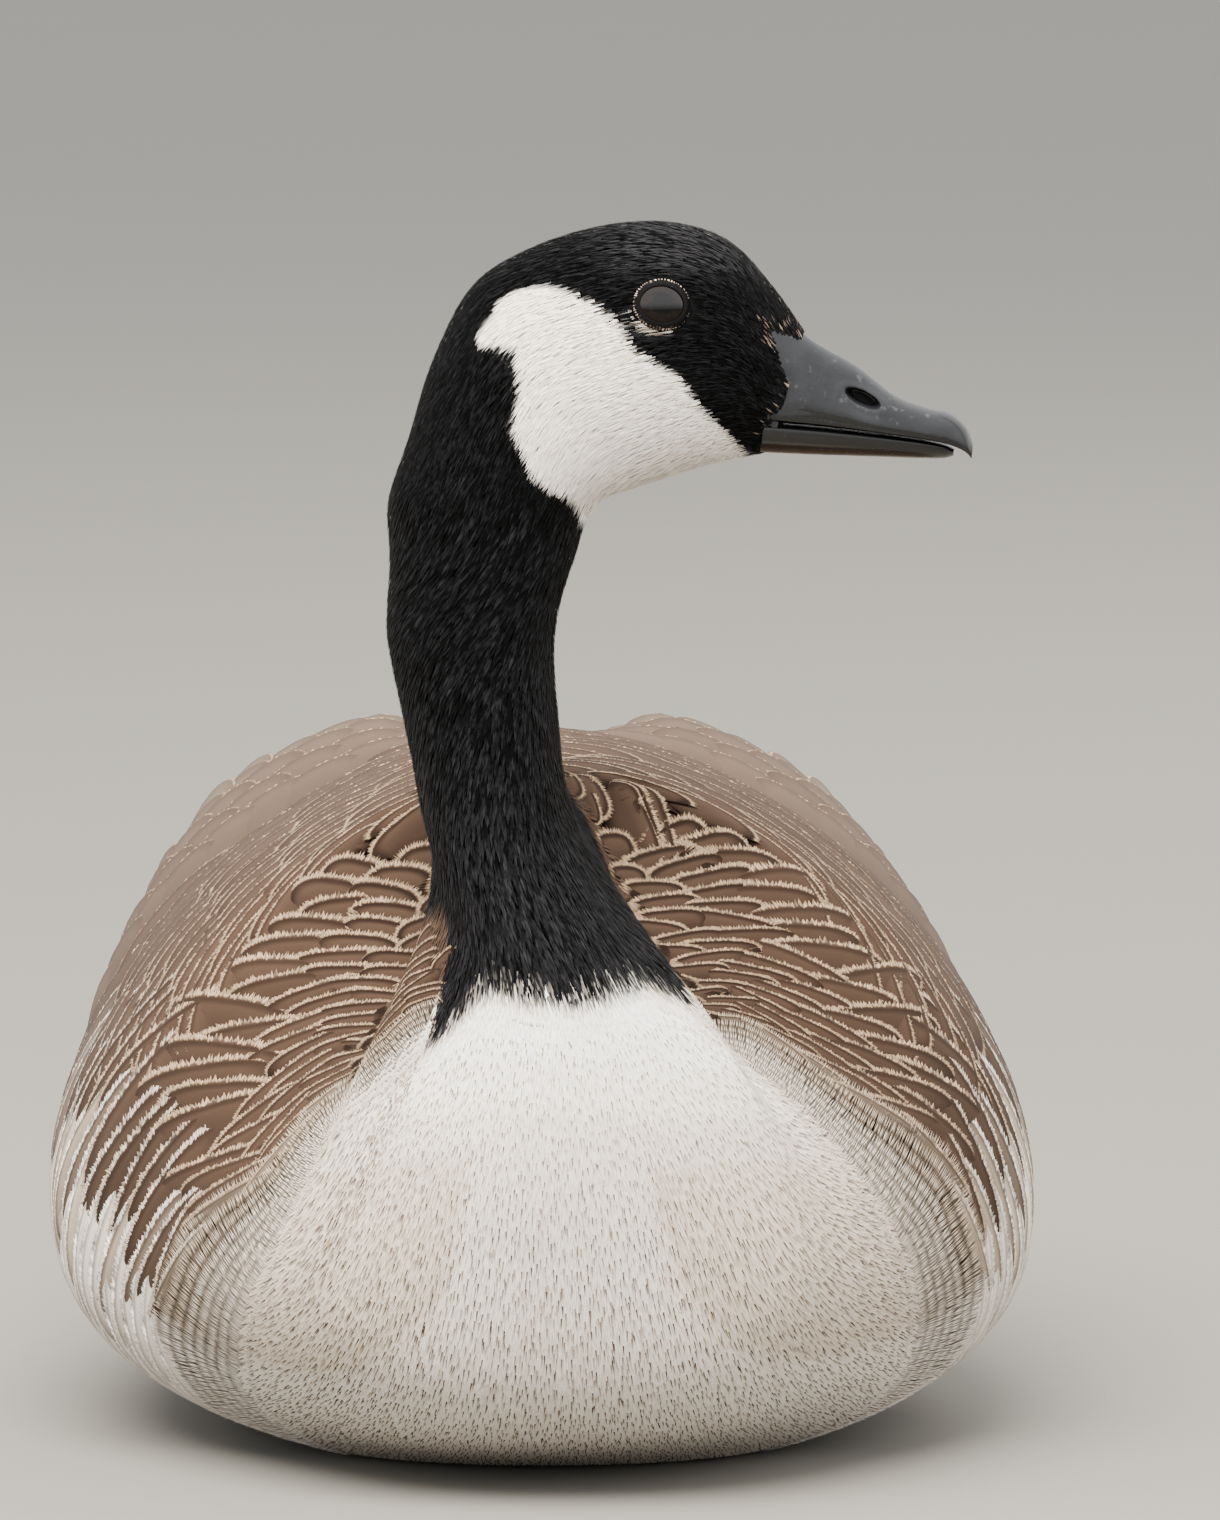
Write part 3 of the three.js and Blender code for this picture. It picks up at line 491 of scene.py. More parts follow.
# ---- markings, shared by skin and coat
marks = {
    # where the black neck ends, as a place along the bird for each share of the way round
    "collar": ([-1, -0.81, -0.73, -0.66, -0.6, -0.56, -0.45, -0.26, 0, 0.26, 0.35, 0.42, 0.47, 0.52, 0.56,
                0.62, 0.65, 0.664, 0.676, 0.688, 0.7, 0.73, 0.766, 0.809, 0.863, 0.918, 1],
               [542, 536.7, 533, 529, 522.7, 517, 515, 512, 510, 512, 517, 524, 532, 537, 540, 543,
                543, 539, 533, 525, 525.7, 529.4, 533.8, 538.2, 541.1, 541.9, 542]),
    # the white breast's lower and upper edge, as a place for each share of the way round
    "apronLow": ([-1, -0.85, -0.7, -0.594, -0.559, -0.48, -0.449, 0.535, 0.586, 0.65, 0.72, 0.85, 1],
                 [417, 424, 441, 461.6, 469, 481, 492, 495, 488, 472, 452, 428, 417]),
    "apronHigh": ([-0.73, -0.6, -0.449, 0, 0.535, 0.668, 0.73], [534, 521, 492, 492, 495, 520.5, 534]),
    "apronSides": (-0.449, 0.535),  # it lies beyond these shares
    "pale": {"white": (0, 14), "tan": (22, 40)},  # how far past the apron each of them fades
    "lowBreast": (38, 128),  # heights between which the breast grows white
    "scallops": {"row": 1.85, "sway": 17, "curve": 900},
    "rump": {"behind": (168, 176), "above": (84, 92), "band": ((226, 234), (262, 270)), "vent": (150, 190)},
    "crowded": 1.4,  # how much closer the rows of feathers are by the neck
    # where the whitish flank begins, as a share of the way round for each place
    "flank": ([150, 330, 400, 430, 460, 500], [0.34, 0.36, 0.39, 0.46, 0.54, 0.7]),
    # the white patch from the cheek round the throat, along the head and up
    "cheek": [(-16.4, 298.6), (-13.2, 301.1), (-9.3, 302.5), (-4.9, 303.1), (-1.1, 302.5), (3.2, 300.6),
              (7.2, 298.8), (10.4, 296.5), (13.4, 294), (14.8, 290.7), (16.7, 288.2), (19.3, 285.8),
              (22.9, 284.1), (26.4, 282.2), (28.9, 280.7), (31.1, 277.3), (33.7, 273.8), (36.7, 270.5),
              (40.3, 267.2), (42.6, 264.4), (45.2, 261.6), (46, 250), (20, 236), (5.2, 241), (3.1, 247.8),
              (1.2, 249.6), (-2.8, 251.7), (-7.4, 255.5), (-8.8, 259.5), (-10.7, 263.6), (-12.3, 267.2),
              (-11.7, 270.7), (-10.5, 275), (-11, 278.9), (-11.5, 283.1), (-11.9, 286.1), (-14, 287),
              (-17.3, 287.5), (-20.2, 287.5), (-21, 289.8), (-20.2, 292), (-17.5, 295.2)],
    # a whitish spot under the eye's back
    "spot": [(16.6, 297.5), (17.9, 299), (19.5, 296.8), (22.4, 295.4), (25.8, 293.4), (25.4, 292.2),
             (21.6, 292), (19.3, 292.7), (17.1, 294.6)],
}


def collarAt(share):
    return np.interp(oneRound(share), *marks["collar"])


def inApron(place, share):
    share = oneRound(share)
    left, right = marks["apronSides"]
    top = marks["apronHigh"]
    above = (np.abs(share) < top[0][-1]) & (place > np.interp(share, *top))
    below = place < np.interp(share, *marks["apronLow"])
    return ((share < left) | (share > right)) & ~below & ~above & (place < collarAt(share))


# How far each point of the trunk is from the breast's white, along the surface and not through the neck,
# with the distances near the neck made longer, as the feathers are smaller there
def measureFromApron():
    at = np.linspace(placeAt(300), placeOf["lowNeck"], 300)
    around = np.linspace(-1, 1, 181)
    points = pointOn(bareSurface, at[:, None], around[None, :])
    rim = pointOn(bareSurface, collarAt(around), around)
    near = np.array([np.linalg.norm(row[:, None] - rim[None], axis=2).min(1) for row in points])
    crowd = 1 + marks["crowded"] * (1 - step(10, 95, near))
    unknown = 1e6
    far = np.where(inApron(at[:, None], around[None, :]), 0.0, unknown)
    closed = at[:, None] > collarAt(around)[None, :]
    moves = [(1, 0), (0, 1)] + [(i, j * sign) for i, j in ((1, 1), (2, 1), (1, 2), (3, 1), (1, 3))
                                for sign in (1, -1)]
    moves += [(-i, -j) for i, j in moves]
    hops = []
    for i, j in moves:
        moved = np.roll(points[:, :-1], (-i, -j), (0, 1))
        hop = np.linalg.norm(moved - points[:, :-1], axis=2) * crowd[:, :-1]
        row = np.arange(len(at)) + i
        hop[(row < 0) | (row >= len(at))] = unknown
        hops.append((i, j, hop))
    for _ in range(500):
        before = far
        best = far[:, :-1]
        for i, j, hop in hops:
            best = np.minimum(best, np.roll(far[:, :-1], (-i, -j), (0, 1)) + hop)
        far = np.concatenate([best, best[:, :1]], axis=1)
        far[closed] = unknown
        if np.abs(far - before).max() < 0.01:
            break
    known = far < unknown / 10
    far = np.where(known, far, 0)

    def softened(far):
        return sum(np.roll(far, by, axis) for axis in (0, 1) for by in (1, -1)) / 4

    for _ in range(300):  # carry it on smoothly under the neck, then soften it
        far = np.where(known, far, softened(far))
    for _ in range(4):
        soft = softened(far)
        soft[0], soft[-1], soft[:, 0], soft[:, -1] = far[0], far[-1], far[:, 0], far[:, -1]
        far = soft

    def toTable(values):
        across = np.array([np.interp(tableShares, around, row) for row in values])
        return np.array([np.interp(tablePlaces, at, column) for column in across.T]).T

    return toTable(far), toTable(crowd)


apronFar, apronCrowd = measureFromApron()
print("breast measured")


def inwards(outline, x, y):  # how far inside a closed outline a point is, minus outside
    x, y = np.asarray(x, float)[..., None], np.asarray(y, float)[..., None]
    a = np.array(outline)
    b = np.roll(a, -1, axis=0)
    run = b - a
    t = np.clip(((x - a[:, 0]) * run[:, 0] + (y - a[:, 1]) * run[:, 1]) / (run ** 2).sum(1), 0, 1)
    away = np.hypot(x - a[:, 0] - t * run[:, 0], y - a[:, 1] - t * run[:, 1]).min(-1)
    over = (a[:, 1] > y) != (b[:, 1] > y)
    cross = x < run[:, 0] * (y - a[:, 1]) / np.where(run[:, 1] == 0, 1e-9, run[:, 1]) + a[:, 0]
    return np.where((over & cross).sum(-1) % 2 == 1, away, -away)


def headPlaceOf(points):
    away = points - np.array([*bird["headPlace"], 0])
    return away @ headForward, away @ headRight, points[..., 2]


# How black and how pale the coat is at a point: 1 is white, 0.6 tan and 0 brown
def markingsAt(place, share, points=None, run=None):
    points = pointOn(bareSurface, place, share) if points is None else points
    f, _, z = headPlaceOf(points)
    onHead = place > placeOf["middleNeck"]
    cheek = np.where(onHead, step(-0.7, 0.7, inwards(marks["cheek"], f, z)), 0)
    spot = np.where(onHead, 0.7 * step(-0.5, 0.8, inwards(marks["spot"], f, z)), 0)
    head = step(-1.5, 1.5, place - collarAt(share))
    x, y, z = points[..., 0], points[..., 1], points[..., 2]
    behind, below = step(*marks["rump"]["behind"], y), 1 - step(*marks["rump"]["above"], z)
    rump = behind * (1 - below) * (place < placeOf["hips"]) * (1 - between(*marks["rump"]["band"], y))
    black = np.maximum(head * (1 - np.maximum(cheek, spot)), rump)
    # white on the breast's front, then tan to the sides, then brown, and a whitish flank
    past = fromTable(apronFar, place, share) if run is None else run
    low, bars = 1 - step(*marks["lowBreast"], z), marks["scallops"]
    scallop = 0.5 + 0.5 * np.sin(z / bars["row"] + 1.3 * np.sin(x / bars["sway"]) + x ** 2 / bars["curve"])
    # low on the breast the white turns towards tan, partly its cream tint and partly painted shade
    white = (1 - 0.5 * low - scallop * (0.01 + 0.1 * low)) * (1 - step(*marks["pale"]["white"], past))
    tan = (0.74 - 0.06 * low) * (1 - step(*marks["pale"]["tan"], past))
    vent = step(*marks["rump"]["vent"], lowLineOf(place)) * np.maximum(below, behind)
    pale = np.maximum.reduce([white, tan, 0.8 * step(0.3, 1.0, flankAt(place, share)), vent])
    nearWhite = (place > collarAt(share) - 6) & ((past < 12) | (place > collarAt(share) + 20))
    return black, np.where(nearWhite, np.maximum(pale, 0.97 * head), np.clip(pale, 0, 1))


def flankAt(place, share):  # 0 on the back, 1 well down the whitish flank
    down = np.abs(oneRound(share)) - np.interp(place, *marks["flank"])
    return step(-0.03, 0.2, down) * (0.45 + 0.55 * step(200, 370, place))


# ---- skin
skin = {"along": 300, "round": 144, "first": 292, "overBill": 1.5, "lowest": 0.6}


def fleshPoint(place, share):
    angle = angleAt(place, share)
    points = formPoint(place, angle)
    gone = recessed(place, angle)
    upTheNeck = step(placeOf["breastTop"], placeOf["neckRoot"], place)
    depth = lerp(bird["coatDepth"], bird["fineDepth"], upTheNeck)
    thin = 1 - step(12, 28, fromTable(apronFar, place, share))
    onBreast = lerp(depth, np.minimum(depth, bird["breastDepth"]), thin)
    depth = np.where(place < collarAt(share) + 3, onBreast, depth)
    low = formPoint(place + 0.5, angle) - formPoint(place - 0.5, angle)
    across = formPoint(place, angle + 0.01) - formPoint(place, angle - 0.01)
    return points - unit(np.cross(across, low)) * (depth + gone)[..., None]


def makeSkin():
    bm = bmesh.new()
    bmesh.ops.create_grid(bm, x_segments=skin["round"], y_segments=skin["along"], size=1)
    bm.verts.ensure_lookup_table()
    flat = np.array([v.co[:2] for v in bm.verts])
    share = flat[:, 0]
    place = lerp(placeAt(skin["first"]), placeOf["billRoot"] + skin["overBill"], (flat[:, 1] + 1) / 2)
    points = fleshPoint(place, np.clip(share, -1, 1))
    points[:, 2] = np.maximum(points[:, 2], skin["lowest"])
    keepPlace, keepShare = bm.verts.layers.float.new("place"), bm.verts.layers.float.new("share")
    for v, p, s, q in zip(bm.verts, points * mm, place, share):
        v.co = p
        v[keepPlace], v[keepShare] = s, q
    bmesh.ops.remove_doubles(bm, verts=bm.verts, dist=0.00001)
    ends = [e for e in bm.edges if e.is_boundary]
    bmesh.ops.holes_fill(bm, edges=ends, sides=0)
    bmesh.ops.recalc_face_normals(bm, faces=bm.faces)
    return meshFrom(bm, "skin")


# ---- feathers: rows of beds, and forms laid on them
# Each row runs across the bird, one exposure further back than the last. A bed is a tip's place and share,
# with the exposure, the room across, the distance from the first row, the row's number and the way it lies.
def steady(value):
    return lambda x: x * 0 + value


def ticksAlong(walked, number, jitter):  # a tick each step of the way, set off by half in every second row
    ticks = np.arange(int(walked[-1]) + 1) + (0.5 if number % 2 else 0.0)
    return ticks + draw.normal(0, jitter, len(ticks))


def layRows(start, end, exposure, room, shares, jitter=0.12, surface=coatSurface):
    place = np.array(start, float)
    run = np.zeros_like(place)
    beds = []
    for number in range(400):
        if np.all(place < end):
            break
        e = exposure(run)
        w = room(e)
        points = pointOn(surface, place, shares)
        walked = np.linalg.norm(np.diff(points, axis=0), axis=1) / ((w[1:] + w[:-1]) / 2)
        walked = np.concatenate([[0], np.cumsum(walked)])
        ticks = ticksAlong(walked, number, jitter)
        at = np.interp(ticks, walked, shares)
        found = [np.interp(at, shares, v) for v in (place, e, w, run)]
        keep = (found[0] > np.interp(at, shares, end)) & (ticks > 0) & (ticks < walked[-1])
        lie = -unit(fromTable(surface["along"], found[0], at))
        bed = np.concatenate([np.stack([found[0], at, *found[1:], at * 0 + number], -1), lie], -1)[keep]
        astray = draw.normal(0, jitter, len(bed)) * bed[:, 2]
        bed[:, 0] += astray / speedOn(surface, bed[:, 0], bed[:, 1])
        beds.append(bed)
        place = place - e / speedOn(surface, place, shares)
        place = np.convolve(np.pad(place, 3, mode="edge"), np.ones(7) / 7, "valid")  # evens the row
        run = run + e
    return np.concatenate(beds)


# Rows along the lines that are equally far from the breast's white, the feathers' tips pointing away from it
contours = {"middle": 70, "first": 296, "along": 420, "round": 361, "gap": 5,
            "placeStep": 0.4, "shareStep": 0.006}


def layContours(levels, exposure, room, jitter, packed=True):
    at = np.linspace(placeAt(contours["first"]), placeOf["lowerNeck"], contours["along"])
    around = np.linspace(-1, 1, contours["round"])
    far = fromTable(apronFar, at[:, None], around[None, :])
    beds = []
    for number, level in enumerate(levels):
        found = []
        for down, over in ((1, 0), (0, 1)):
            a, b = far[:len(at) - down, :len(around) - over], far[down:, over:]
            i, j = np.nonzero((a - level) * (b - level) < 0)
            t = (level - a[i, j]) / (b[i, j] - a[i, j])
            found.append(np.stack([lerp(at[i], at[i + down], t), lerp(around[j], around[j + over], t)], -1))
        found = np.concatenate(found)
        spots = pointOn(coatSurface, found[:, 0], found[:, 1])
        order = np.argsort(np.arctan2(-spots[:, 0], spots[:, 2] - contours["middle"]))
        found, spots = found[order], spots[order]
        if len(found) < 4:
            continue
        gaps = np.linalg.norm(np.diff(spots, axis=0), axis=1)
        crowd = fromTable(apronCrowd, found[:, 0], found[:, 1]) if packed else np.ones(len(found))
        walked = np.concatenate([[0], np.cumsum(gaps * (crowd[1:] + crowd[:-1]) / 2)]) / room(level)
        ticks = ticksAlong(walked, number, jitter)
        ticks = ticks[(ticks > 0) & (ticks < walked[-1])]
        ticks = ticks[gaps[np.searchsorted(walked, ticks) - 1] < contours["gap"]]
        s, q = np.interp(ticks, walked, found[:, 0]), np.interp(ticks, walked, found[:, 1])
        ds, dq = contours["placeStep"], contours["shareStep"]
        rise = (fromTable(apronFar, s + ds, q) - fromTable(apronFar, s - ds, q)) / (2 * ds)
        turn = (fromTable(apronFar, s, q + dq) - fromTable(apronFar, s, q - dq)) / (2 * dq)
        alongIt, roundIt, aa, ab, bb = gridOf(coatSurface, s, q)
        lie = alongIt * (bb * rise - ab * turn)[:, None] + roundIt * (aa * turn - ab * rise)[:, None]
        one = np.ones(len(s))
        crowd = fromTable(apronCrowd, s, q)
        wide = room(level) / (crowd if packed else one)
        bed = np.stack([s, q, exposure(level) / crowd, wide, one * level, one * number], -1)
        beds.append(np.concatenate([bed, unit(lie)], -1))
    beds = np.concatenate(beds)
    astray = draw.normal(0, jitter, len(beds)) * beds[:, 2]
    beds[:, 0] -= astray / speedOn(coatSurface, beds[:, 0], beds[:, 1])
    return beds


# One feather's blade, closed and thin, with a frayed rim: its points in shares of half its width and of its
# length, the fray's direction, the height in shares of thickness, how far in from the rim each point is
# (1 at the fringe's inner line) and which barb it is on.
def bladeForm(teeth, seed, square=0.8, shoulder=0.42, rootWide=0.3):
    own = np.random.default_rng(seed)
    turn = np.linspace(-0.5 * math.pi, 0.5 * math.pi, teeth + 1)
    points, fray, height, edge, barb = [], [], [], [], []

    def outlineAt(a, inset=0.0):
        u = np.sign(np.sin(a)) * np.abs(np.sin(a)) ** square * (1 - inset)
        return u, shoulder + (1 - shoulder) * np.abs(np.cos(a)) ** square * (1 - inset)

    def add(spot, out, h, inwards, a):
        points.append(spot)
        fray.append(out)
        height.append(h)
        edge.append(inwards)
        barb.append(a)
        return len(points) - 1

    outer = [add(outlineAt(a), (0, 0), 0.0, 0.0, a) for a in turn]
    tips = []
    for a in (turn[:-1] + turn[1:]) / 2:
        way = np.array([math.sin(a), 0.9 * math.cos(a) + 0.35])
        way = way / np.linalg.norm(way) * (0.35 + 0.75 * own.random())
        way[0] += 0.14 * own.normal()
        tips.append(add(outlineAt(a), tuple(way), own.normal(0.1, 0.5), -1.0, a))
    inner = [add(outlineAt(a), (-math.sin(a), -math.cos(a)), 0.5, 1.0, a) for a in turn[::2]]
    core = [add(outlineAt(a, 0.52), (0, 0), 1.0, 2.4, a) for a in turn[::4]]
    middle = add((0, 0.42), (0, 0), 1.1, 3.0, 0)
    rootA, rootB = (add((end * rootWide, 0), (0, 0), 0, 3.0, end * turn[-1]) for end in (-1, 1))
    belly = add((0, 0.6), (0, 0), -1.0, 3.0, 0)
    top, under = [], []
    for k in range(teeth):
        top.append((outer[k], outer[k + 1], tips[k]))
        under += [(outer[k], tips[k], belly), (tips[k], outer[k + 1], belly)]
    for rim, bed in ((outer, inner), (inner, core)):  # each line has half the points of the one outside it
        for k in range(len(bed) - 1):
            a, b, c = rim[2 * k:2 * k + 3]
            top += [(a, bed[k], b), (b, bed[k], bed[k + 1]), (b, bed[k + 1], c)]
            if bed is core:
                top.append((core[k], middle, core[k + 1]))
    first, last = (outer[0], inner[0], core[0], middle), (outer[-1], inner[-1], core[-1], middle)
    top += [(first[k], rootA, first[k + 1]) for k in range(3)]
    top += [(last[k + 1], rootB, last[k]) for k in range(3)] + [(rootA, rootB, middle)]
    under += [(outer[-1], rootB, belly), (rootB, rootA, belly), (rootA, outer[0], belly)]
    faces = np.array(top + under)
    return {"points": np.array(points), "fray": np.array(fray), "height": np.array(height), "faces": faces,
            "edge": np.array(edge), "barb": np.array(barb), "under": np.arange(len(faces)) >= len(top)}


def sliverForm(full=True):  # a thin tapering sliver, for hair-like feather tips
    ringAt = [(0.0, 0.55), (0.5, 1.0)] if full else [(0.0, 0.9)]
    points, height = [], []
    for v, w in ringAt:
        points += [(-w, v), (0, v), (w, v)]
        height += [0.0, 1.0, 0.0]
    points.append((0, 1))
    height.append(0.5)
    faces = [(0, 2, 1)]
    for k in range(len(ringAt) - 1):
        a = 3 * k
        for i in range(3):
            j = (i + 1) % 3
            faces += [(a + i, a + j, a + 3 + j), (a + i, a + 3 + j, a + 3 + i)]
    a, tip = 3 * (len(ringAt) - 1), len(points) - 1
    faces += [(a, a + 1, tip), (a + 1, a + 2, tip), (a + 2, a, tip)]
    n = len(points)
    return {"points": np.array(points), "fray": np.zeros((n, 2)), "height": np.array(height),
            "edge": np.full(n, 3.0), "barb": np.zeros(n), "faces": np.array(faces),
            "under": np.ones(len(faces), bool)}


# How a feather lies: its length and width, how deep the root and high the tip are, its turn from the lie,
# its arch, its tilt to the neighbours, its thickness, fray and curl, each one number or one a bed
flatLay = {"turn": 0.0, "arch": 0.0, "tilt": 0.0, "fray": 0.0, "curl": 0.0}
straightLay = {"sag": 0.0, "tilt": 0.0, "thick": 0.3}


def perBed(lay, n):
    return {k: np.broadcast_to(np.asarray(v, float), (n,))[:, None] for k, v in lay.items()}


def layForm(form, beds, lay, surface=coatSurface):
    each = perBed({**flatLay, **lay}, len(beds))
    place, share = beds[:, 0:1], beds[:, 1:2]
    u, v = form["points"][None, :, 0], form["points"][None, :, 1]
    fray = form["fray"][None]
    across = u * each["wide"] / 2 + fray[..., 0] * each["fray"]
    along = v * each["long"] + fray[..., 1] * each["fray"]
    back = along - each["long"]  # behind the tip's place
    side = np.where(share < 0, -1.0, 1.0)
    lie = beds[:, 6:9]
    normal = unit(fromTable(surface["normals"], beds[:, 0], beds[:, 1]))
    over = np.cross(normal, lie)
    turn = each["turn"]
    lie, over = lie * np.cos(turn) + over * np.sin(turn), over * np.cos(turn) - lie * np.sin(turn)
    s1, q1 = stepsFor(surface, beds[:, 0], beds[:, 1], lie)
    s2, q2 = stepsFor(surface, beds[:, 0], beds[:, 1], over)
    s = place + back * s1[:, None] + across * s2[:, None]
    q = share + back * q1[:, None] + across * q2[:, None]
    if form["points"].shape[0] > 20:  # a large blade follows the surface step by step
        tip = pointOn(surface, beds[:, 0], beds[:, 1])
        flat = tip[:, None] + back[..., None] * lie[:, None] + across[..., None] * over[:, None]
        s, q = settled(surface, s, q, flat)
    t = np.clip(v, 0, 1.0)
    height = (lerp(each["sunk"], each["raised"], t ** 1.2) + each["arch"] * (1 - u * u)
              + each["tilt"] * u * side * t + form["height"][None] * each["thick"]
              + each["curl"] * np.maximum(t - 0.6, 0) ** 2 * 6)
    points = pointOn(surface, s, q, height)
    points[..., 2] = np.maximum(points[..., 2], 0.35)  # over the floor
    return points


# Joins laid forms as one piece. Every bed has its own patch of the map that the finish is kept in.
def coatPiece(name, form, beds, lay, slot, shades, grid=0, surface=coatSurface, points=None):
    if points is None:
        points = layForm(form, beds, lay, surface)
    n, m = points.shape[:2]
    faces = (form["faces"][None] + np.arange(n)[:, None, None] * m).reshape(-1, 3)
    u, v = form["points"].T
    if grid:  # big feathers, each in a cell in the order of their rows
        cells = np.arange(n)
        corner = np.stack([cells % grid, cells // grid], -1) / grid
        own = np.stack([(u + 1.15) / 2.3, v / 1.1], -1) + form["fray"] * 0.05
        corners = own[form["faces"]]
        corners[form["under"]] = corners[form["under"]] * [0.06, 1] + [0.94, 0]
        corners[~form["under"]] = corners[~form["under"]] * [0.9, 1]
        corners = corners * 0.96 / grid
    else:  # slivers, each a small patch at its root's place on the unrolled skin
        corner = np.stack([(beds[:, 1] + 1) / 2, beds[:, 0] / places[-1]], -1) * 0.99
        corners = (np.stack([u / 2 + 0.5, v], -1) * 0.003)[form["faces"]]
    maps = corner[:, None, None, :] + corners[None]
    given = {"edge": form["edge"], "lie": v, "across": u, "barb": form["barb"]}
    given.update({k: np.asarray(values, float).reshape(n, -1) for k, values in shades.items()})
    return putMesh(name, points.reshape(-1, 3), faces, feathers, {"OFBake": maps.reshape(-1, 2)},
                   {k: np.broadcast_to(values, (n, m)).ravel() for k, values in given.items()},
                   smooth=np.tile(~form["under"], n))


def coatPart(name, form, mine, beds, lay, slot, shades, big=True, surface=coatSurface):
    ownLay, ownShades = ({k: np.broadcast_to(v, len(beds))[mine] for k, v in given.items()}
                         for given in (lay, shades))
    grid = math.ceil(math.sqrt(mine.sum())) if big else 0
    coatPiece(name, form, beds[mine], ownLay, slot, ownShades, grid, surface)


def coatPair(name, form, beds, lay, slot, shades, big=False, surface=coatSurface):
    for sideName, mine in (("Left", beds[:, 1] < 0), ("Right", beds[:, 1] >= 0)):
        coatPart(f"{name}{sideName}", form, mine, beds, lay, slot, shades, big, surface)


# ---- plumage finish, for skin and coat alike
# the darkest brown below is painted shade, and also the colour of the barbs' streaks; the grey after the
# black is a painted sheen on it
plumage = {
    "brown": (68, 53, 43), "deepBrown": (36, 26, 20), "tan": (184, 168, 149), "white": (250, 248, 243),
    "fringe": (158, 134, 109), "black": (2, 2, 2), "blackSheen": (33, 33, 35),
}


def plumageFinish(name, onSkin=False):
    gloss = {"Specular IOR Level": 0.08, "Sheen Weight": 0.015, "Sheen Roughness": 0.5}
    made = Finish(name, Roughness=0.85, **gloss)
    pale, black, tone = made.shade("pale"), made.shade("black"), made.shade("tone")
    ink = {k: colour(*v) for k, v in plumage.items()}
    base = made.mix((pale * 1.7).clamped(), ink["brown"], ink["tan"])
    base = made.mix((pale * 2.5 - 1.5).clamped(), base, ink["white"])
    if not onSkin:
        edge, lie, across, barb = (made.shade(key) for key in ("edge", "lie", "across", "barb"))
        contrast, fringed = made.shade("contrast"), made.shade("fringe")
        # painted shade: darker brown on brown feathers and tan on pale ones, also used for the barbs' streaks
        deep = made.mix(pale.step(0.5, 1.4), ink["deepBrown"], ink["tan"])
        hairs = made.noise(1.0, 1, 0.5, made.join(barb * 46.0, edge * 0.7, tone * 9.0))
        ragged = (hairs - 0.5) * 1.3
        wider = (fringed - 1.0).clamped()
        rim = ((0.2 + wider * 0.5 - edge + ragged * (wider * 0.8 + 1.0)) * 3.0 + 0.5).clamped()
        # painted shade: a band just inside the fringe, and where each feather comes out from under the one
        # before it, as strong as the contrast
        fringeShade = edge.step(0.2, 0.7) * (1 - edge.step(0.8, 1.9))
        fine = (contrast - 1.3).clamped()
        under = 1 - lie.step(0.5 + fine * 0.12, 0.95 - fine * 0.13)
        base = made.mix(((under * 0.35 + fringeShade * 0.6) * contrast).clamped(), base, deep)
        slant = lie * 50.0 - across.size() * 26.0
        streak = made.noise(1.0, 2, 0.5, made.join(slant, across * 2.0, tone * 9.0))
        base = made.mix((streak - 0.5).clamped() * 0.5 * contrast.smaller(1.0), base, deep)
        fringe = made.mix(pale.step(0.45, 1.0).larger(wider), ink["fringe"], ink["white"])
        # painted shade between the fringe's hairs
        fringe = made.mix(((0.55 - hairs) * 5.0).clamped() * 0.7, fringe, deep)
        base = made.mix(rim * fringed.smaller(1.0), base, fringe)
    # darker with the tone, which differs at random and, by the neck, also carries painted shade
    base = made.mix((tone * 0.5 + 0.5).clamped() * (0.18 - pale * 0.1), base, (0.0, 0.0, 0.0))
    # painted sheen: the black turns grey in patches and where the tone is raised
    patchy = made.noise(900, 2, 0.6)
    dark = made.mix((tone * 0.35 + patchy * 0.5 - 0.14).clamped(), ink["black"], ink["blackSheen"])
    made.feed(baseColor=made.mix(black, base, dark), normal=made.bump(made.noise(1400, 2, 0.6), 0.08, 0.0003))
    return made.material


feathers = plumageFinish("feathers")
plainSkin = plumageFinish("feathered skin", onSkin=True)


# What the finish reads on a piece: black, pale, a tone of its own, which also carries painted shade and
# sheen, the fringe's strength and the contrast, which sets how strong the painted shade and the barbs'
# streaks are
def shadesOf(n, black, pale, middle, spread, fringe=0.0, contrast=0.0):
    tone = draw.normal(middle, spread, n)
    return {"black": np.full(n, black, float), "pale": np.full(n, pale, float), "tone": tone,
            "fringe": np.full(n, fringe), "contrast": np.full(n, contrast)}


def markShades(beds, spread, fringe=0.0, contrast=0.0, run=None):
    black, pale = markingsAt(beds[:, 0], beds[:, 1], run=run)
    return shadesOf(len(beds), black, pale, 0, spread, fringe, contrast)


def dressSkin():
    mesh = makeSkin()
    co = np.array([v.co[:] for v in mesh.vertices]) / mm
    place = np.array([d.value for d in mesh.attributes["place"].data])
    share = np.array([d.value for d in mesh.attributes["share"].data])
    black, pale = markingsAt(place, share)
    shades = {"black": black, "pale": pale, "tone": co[:, 0] * 0}
    for p in mesh.polygons:
        p.use_smooth = True
    piece = finishPiece("skin", mesh, plainSkin, None, shades)
    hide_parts("torso", "neck_lower", "neck_upper", "head")


dressSkin()
print("skin ready")

# ---- eyes and lids
eye = {"f": 25.9, "z": 299.5, "radius": 8.2, "shown": 0.62, "upturn": 13, "forward": 9, "long": 5.65,
       "high": 4.7, "rim": 1.05, "tilt": 8, "beads": 56}


